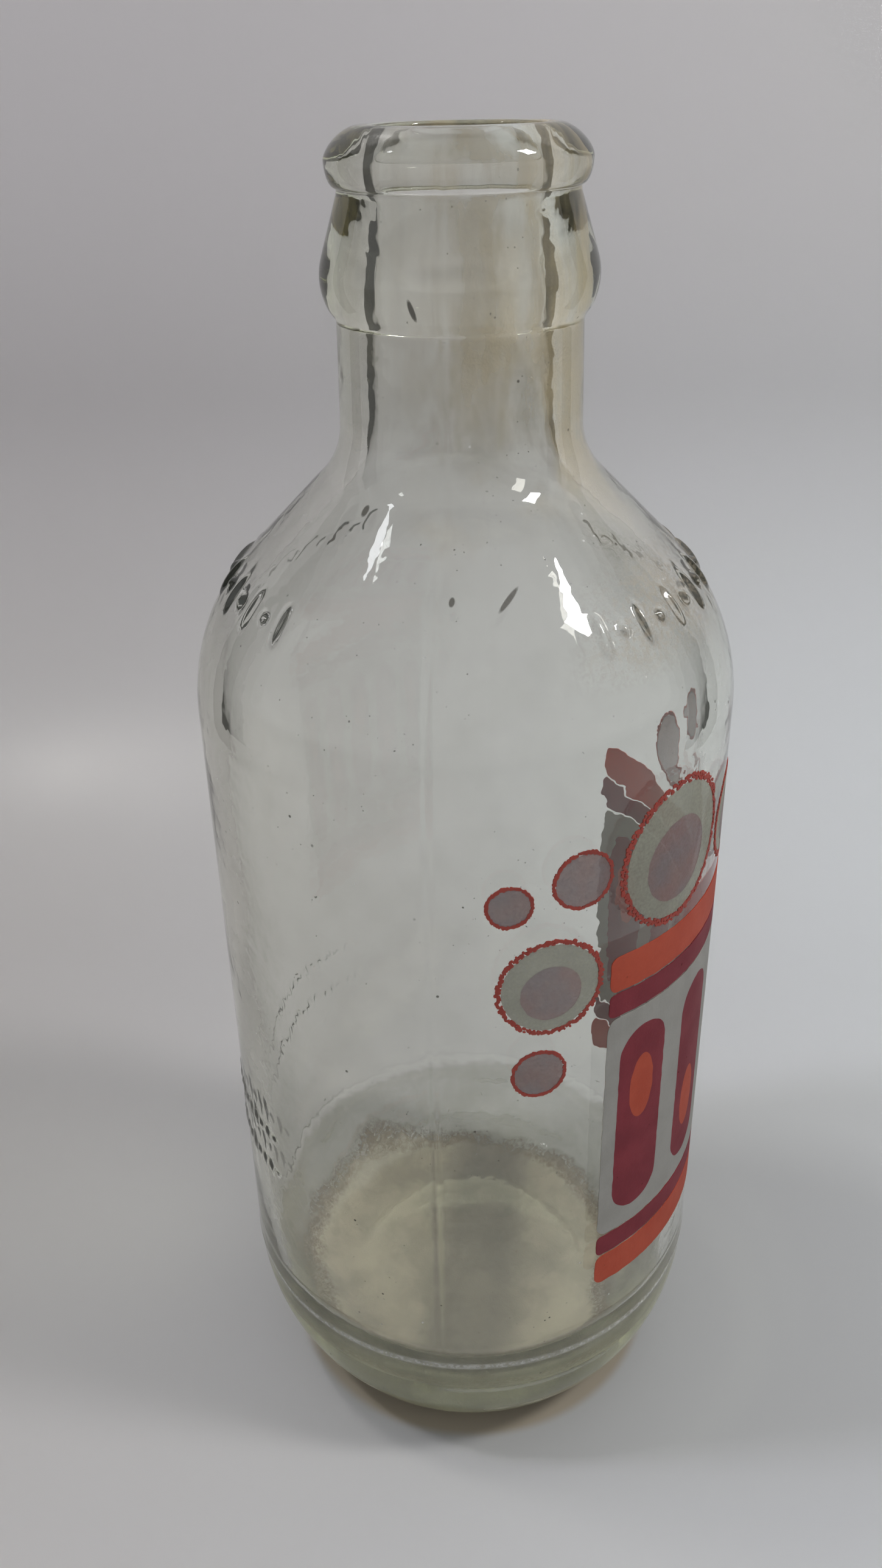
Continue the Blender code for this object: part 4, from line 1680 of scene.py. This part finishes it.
@dataclass
class Stage:
    """The pale sheet that the bottle stands on, swept up behind it, and the light."""

    view_turn: float = VIEW_TURN
    floor_reach: float = 1.6
    wall_distance: float = 0.081
    bend_radius: float = 0.10
    wall_height: float = 1.3
    # Painted light and shade: the floor and the wall are painted darker to the left and lighter to the
    # right, and the wall lighter than the floor
    floor_colour: Colour = (0.30, 0.29, 0.285)
    floor_right_painted_light_colour: Colour = (0.40, 0.415, 0.425)
    # Painted shadow: a dark brown ring on the floor round the foot
    painted_shadow_colour: Colour = (0.30, 0.265, 0.21)
    painted_shadow_ring: Triple = (24.0 * MM, 1.8 * MM, 1.6 * MM)
    wall_painted_light_colour: Colour = (0.405, 0.39, 0.395)
    wall_right_painted_light_colour: Colour = (0.475, 0.465, 0.47)
    fade_height: float = 0.17
    fade_reach: float = 0.12
    sheet_index: float = 1.45
    sheet_roughness: float = 0.26
    sheet_mark_size: float = 22.0 * MM
    card_distance: float = 0.25
    card_turn: float = math.radians(112)
    card_width: float = 0.07
    card_height: float = 0.3
    card_nap: float = 8.0 * MM
    room_light: float = 0.60
    room_colour: Colour = (0.97, 0.98, 1.0)
    window: Lamp = Lamp("window", 76, 50, 0.75, (0.10, 0.135), 2.9, (1.0, 0.98, 0.96))
    second_window: Lamp = Lamp("second_window", -83, 56, 0.65, (0.07, 0.07), 0.75, (0.94, 0.97, 1.0))
    glint: Lamp = Lamp("glint", -83, 56, 0.6, (0.035, 0.035), 0.04, (0.94, 0.97, 1.0))
    shine: Lamp = Lamp("shine", -100, 66, 0.61, (0.08, 0.04), 0.9, (1.0, 0.98, 0.94))

    def sweep(self) -> Object:
        """Make the sheet: a floor, a bend and a wall in one smooth surface.

        Returns:
            The sheet.
        """
        profile = [(-self.floor_reach, 0.0)]
        centre = (self.wall_distance, self.bend_radius)
        profile += arc(centre, self.bend_radius, -math.pi / 2, 0, math.radians(6))
        profile.append((self.wall_distance + self.bend_radius, self.wall_height))
        mesh = bmesh.new()
        lines = [
            [mesh.verts.new((side * self.floor_reach, along, height)) for along, height in profile]
            for side in (-1, 1)
        ]
        for i in range(len(profile) - 1):
            face = mesh.faces.new((lines[0][i], lines[1][i], lines[1][i + 1], lines[0][i + 1]))
            face.smooth = True
        mesh.transform(Matrix.Rotation(self.view_turn, 4, "Z"))
        data = settled(mesh, bpy.data.meshes.new("sheet"))
        data.materials.append(self.sheet())
        obj = new_object("pale_sheet", data)
        return obj

    def sheet(self) -> Material:
        """Make the sheet's pale, slightly glossy finish, with painted light and shade.

        Returns:
            The material.
        """
        maker = ShaderMaker("pale_sheet")
        mark = maker.noise(self.sheet_mark_size, 3.0, 0.6, (1.6, 1.6, 1), 0.2)
        # Painted shade: the sheet's colour goes from darker on the left to lighter on the right
        side = maker.x * math.cos(self.view_turn) + maker.y * math.sin(self.view_turn)
        side = side.ramp(-self.fade_reach, self.fade_reach)
        wall = maker.blend(side, self.wall_painted_light_colour, self.wall_right_painted_light_colour)
        floor = maker.blend(side, self.floor_colour, self.floor_right_painted_light_colour)
        # Painted shadow: a dark brown ring on the floor round the foot
        painted_shadow = ((maker.x * maker.x + maker.y * maker.y) ** 0.5).band(*self.painted_shadow_ring)
        floor = maker.blend(painted_shadow, floor, self.painted_shadow_colour)
        # Painted light: the wall is painted lighter than the floor
        colour = maker.blend(maker.z.ramp(0.0, self.fade_height), floor, wall)
        roughness = mark * 0.16 + self.sheet_roughness + side * 0.4
        maker.surface(maker.coat(colour, roughness, self.sheet_index))
        return maker.material

    def card(self, name: str, side: int) -> Object:
        """Stand a dark card beside the bottle, which only the glass shows.

        Args:
            name: The card's name.
            side: 1 for the camera's right and -1 for its left.

        Returns:
            The card.
        """
        turn = self.card_turn * side
        mesh = bmesh.new()
        half = self.card_width / 2
        corners = [(-half, -self.card_distance, 0.0), (half, -self.card_distance, 0.0)]
        corners += [(x, y, self.card_height) for x, y, _ in reversed(corners)]
        mesh.faces.new([mesh.verts.new(corner) for corner in corners])
        mesh.transform(Matrix.Rotation(self.view_turn + turn, 4, "Z"))
        data = settled(mesh, bpy.data.meshes.new(name))
        maker = ShaderMaker(name)
        cloth = maker.noise(self.card_nap, 3.0) * 0.02 + 0.02
        maker.surface(maker.coat(maker.vector(cloth, cloth, cloth), 0.9, 1.5))
        data.materials.append(maker.material)
        obj = new_object(name, data)
        obj.visible_camera = obj.visible_diffuse = obj.visible_shadow = False
        return obj

    def build(self) -> None:
        """Make the sheet, the lamps and the room's even light."""
        sheet = self.sweep()
        self.card("left_card", -1)
        self.card("right_card", 1)
        self.window.build(self.view_turn)
        fill = self.second_window.build(self.view_turn)
        fill.visible_glossy = fill.visible_transmission = False
        self.glint.build(self.view_turn)
        shine = self.shine.build(self.view_turn)
        shine.data.diffuse_factor = 0.0
        only = bpy.data.collections.new("lit_by_shine")
        only.objects.link(sheet)
        shine.light_linking.receiver_collection = only
        world = bpy.data.worlds.new("room")
        bpy.context.scene.world = world
        world.use_nodes = True
        background = world.node_tree.nodes["Background"]
        background.inputs["Color"].default_value = opaque(self.room_colour)
        background.inputs["Strength"].default_value = self.room_light


@dataclass
class PhotoCamera:
    """The camera that took the photograph, fitted to the bottle's outline."""

    distance: float = 139.8 * MM
    height: float = 165.9 * MM
    turn: float = VIEW_TURN
    pitch: float = math.radians(28.79)
    yaw: float = math.radians(-1.25)
    roll: float = math.radians(-1.26)
    focal_pixels: float = 2108.0
    frame_height_pixels: float = 2576.0
    sensor: float = 24.0

    def build(self) -> Object:
        """Make the camera and give it to the scene.

        Returns:
            The camera.
        """
        level = math.cos(self.pitch)
        forward = Vector((math.sin(self.yaw) * level, math.cos(self.yaw) * level, -math.sin(self.pitch)))
        right = Vector((math.cos(self.yaw), -math.sin(self.yaw), 0.0))
        up = right.cross(forward)
        rolled_right = right * math.cos(self.roll) + up * math.sin(self.roll)
        rolled_up = up * math.cos(self.roll) - right * math.sin(self.roll)
        axes = Matrix((rolled_right, rolled_up, -forward)).transposed()
        data = bpy.data.cameras.new("photo_camera")
        data.sensor_fit = "VERTICAL"
        data.sensor_height = self.sensor
        data.lens = self.focal_pixels / self.frame_height_pixels * self.sensor
        data.clip_start = 0.005
        data.clip_end = 20.0
        obj = bpy.data.objects.new("photo_camera", data)
        bpy.context.scene.collection.objects.link(obj)
        place = Matrix.Translation((0.0, -self.distance, self.height)) @ axes.to_4x4()
        obj.matrix_world = Matrix.Rotation(self.turn, 4, "Z") @ place
        bpy.context.scene.camera = obj
        return obj


ENAMELS = (
    Enamel(Slot.WHITE, (0.53, 0.52, 0.49), (0.45, 0.44, 0.41)),
    Enamel(Slot.ORANGE, (0.68, 0.13, 0.065), (0.58, 0.10, 0.05)),
    Enamel(Slot.CRIMSON, (0.36, 0.045, 0.065), (0.27, 0.032, 0.05)),
    Enamel(Slot.RED, (0.58, 0.11, 0.08), (0.44, 0.09, 0.07)),
    Enamel(Slot.PALE, (0.50, 0.50, 0.42), (0.41, 0.41, 0.35), 0.66),
    Enamel(Slot.MAUVE, (0.34, 0.28, 0.29), (0.42, 0.26, 0.24), 0.66),
)


def main() -> None:
    """Build the camera, the glass, the label and the surroundings, in that order."""
    logging.basicConfig(level=logging.INFO, format="%(name)s: %(message)s")
    PhotoCamera().build()
    bottle = GlassBottle()
    pieces = [bottle.build()]
    enamels = {enamel.slot: enamel.material() for enamel in ENAMELS}
    fields = EnamelFields(bottle)
    pieces += fields.build(enamels)
    pieces += Bubbles(fields).build(enamels)
    for piece in pieces:
        piece.data.calc_loop_triangles()
        LOG.info("%s has %d triangles", piece.name, len(piece.data.loop_triangles))
    Stage().build()
    scene = bpy.context.scene
    scene.view_settings.view_transform = "Standard"
    scene.cycles.max_bounces = scene.cycles.transmission_bounces = GLASS_BOUNCES
    scene.cycles.transparent_max_bounces = CLEAR_BOUNCES


if __name__ == "__main__":
    main()
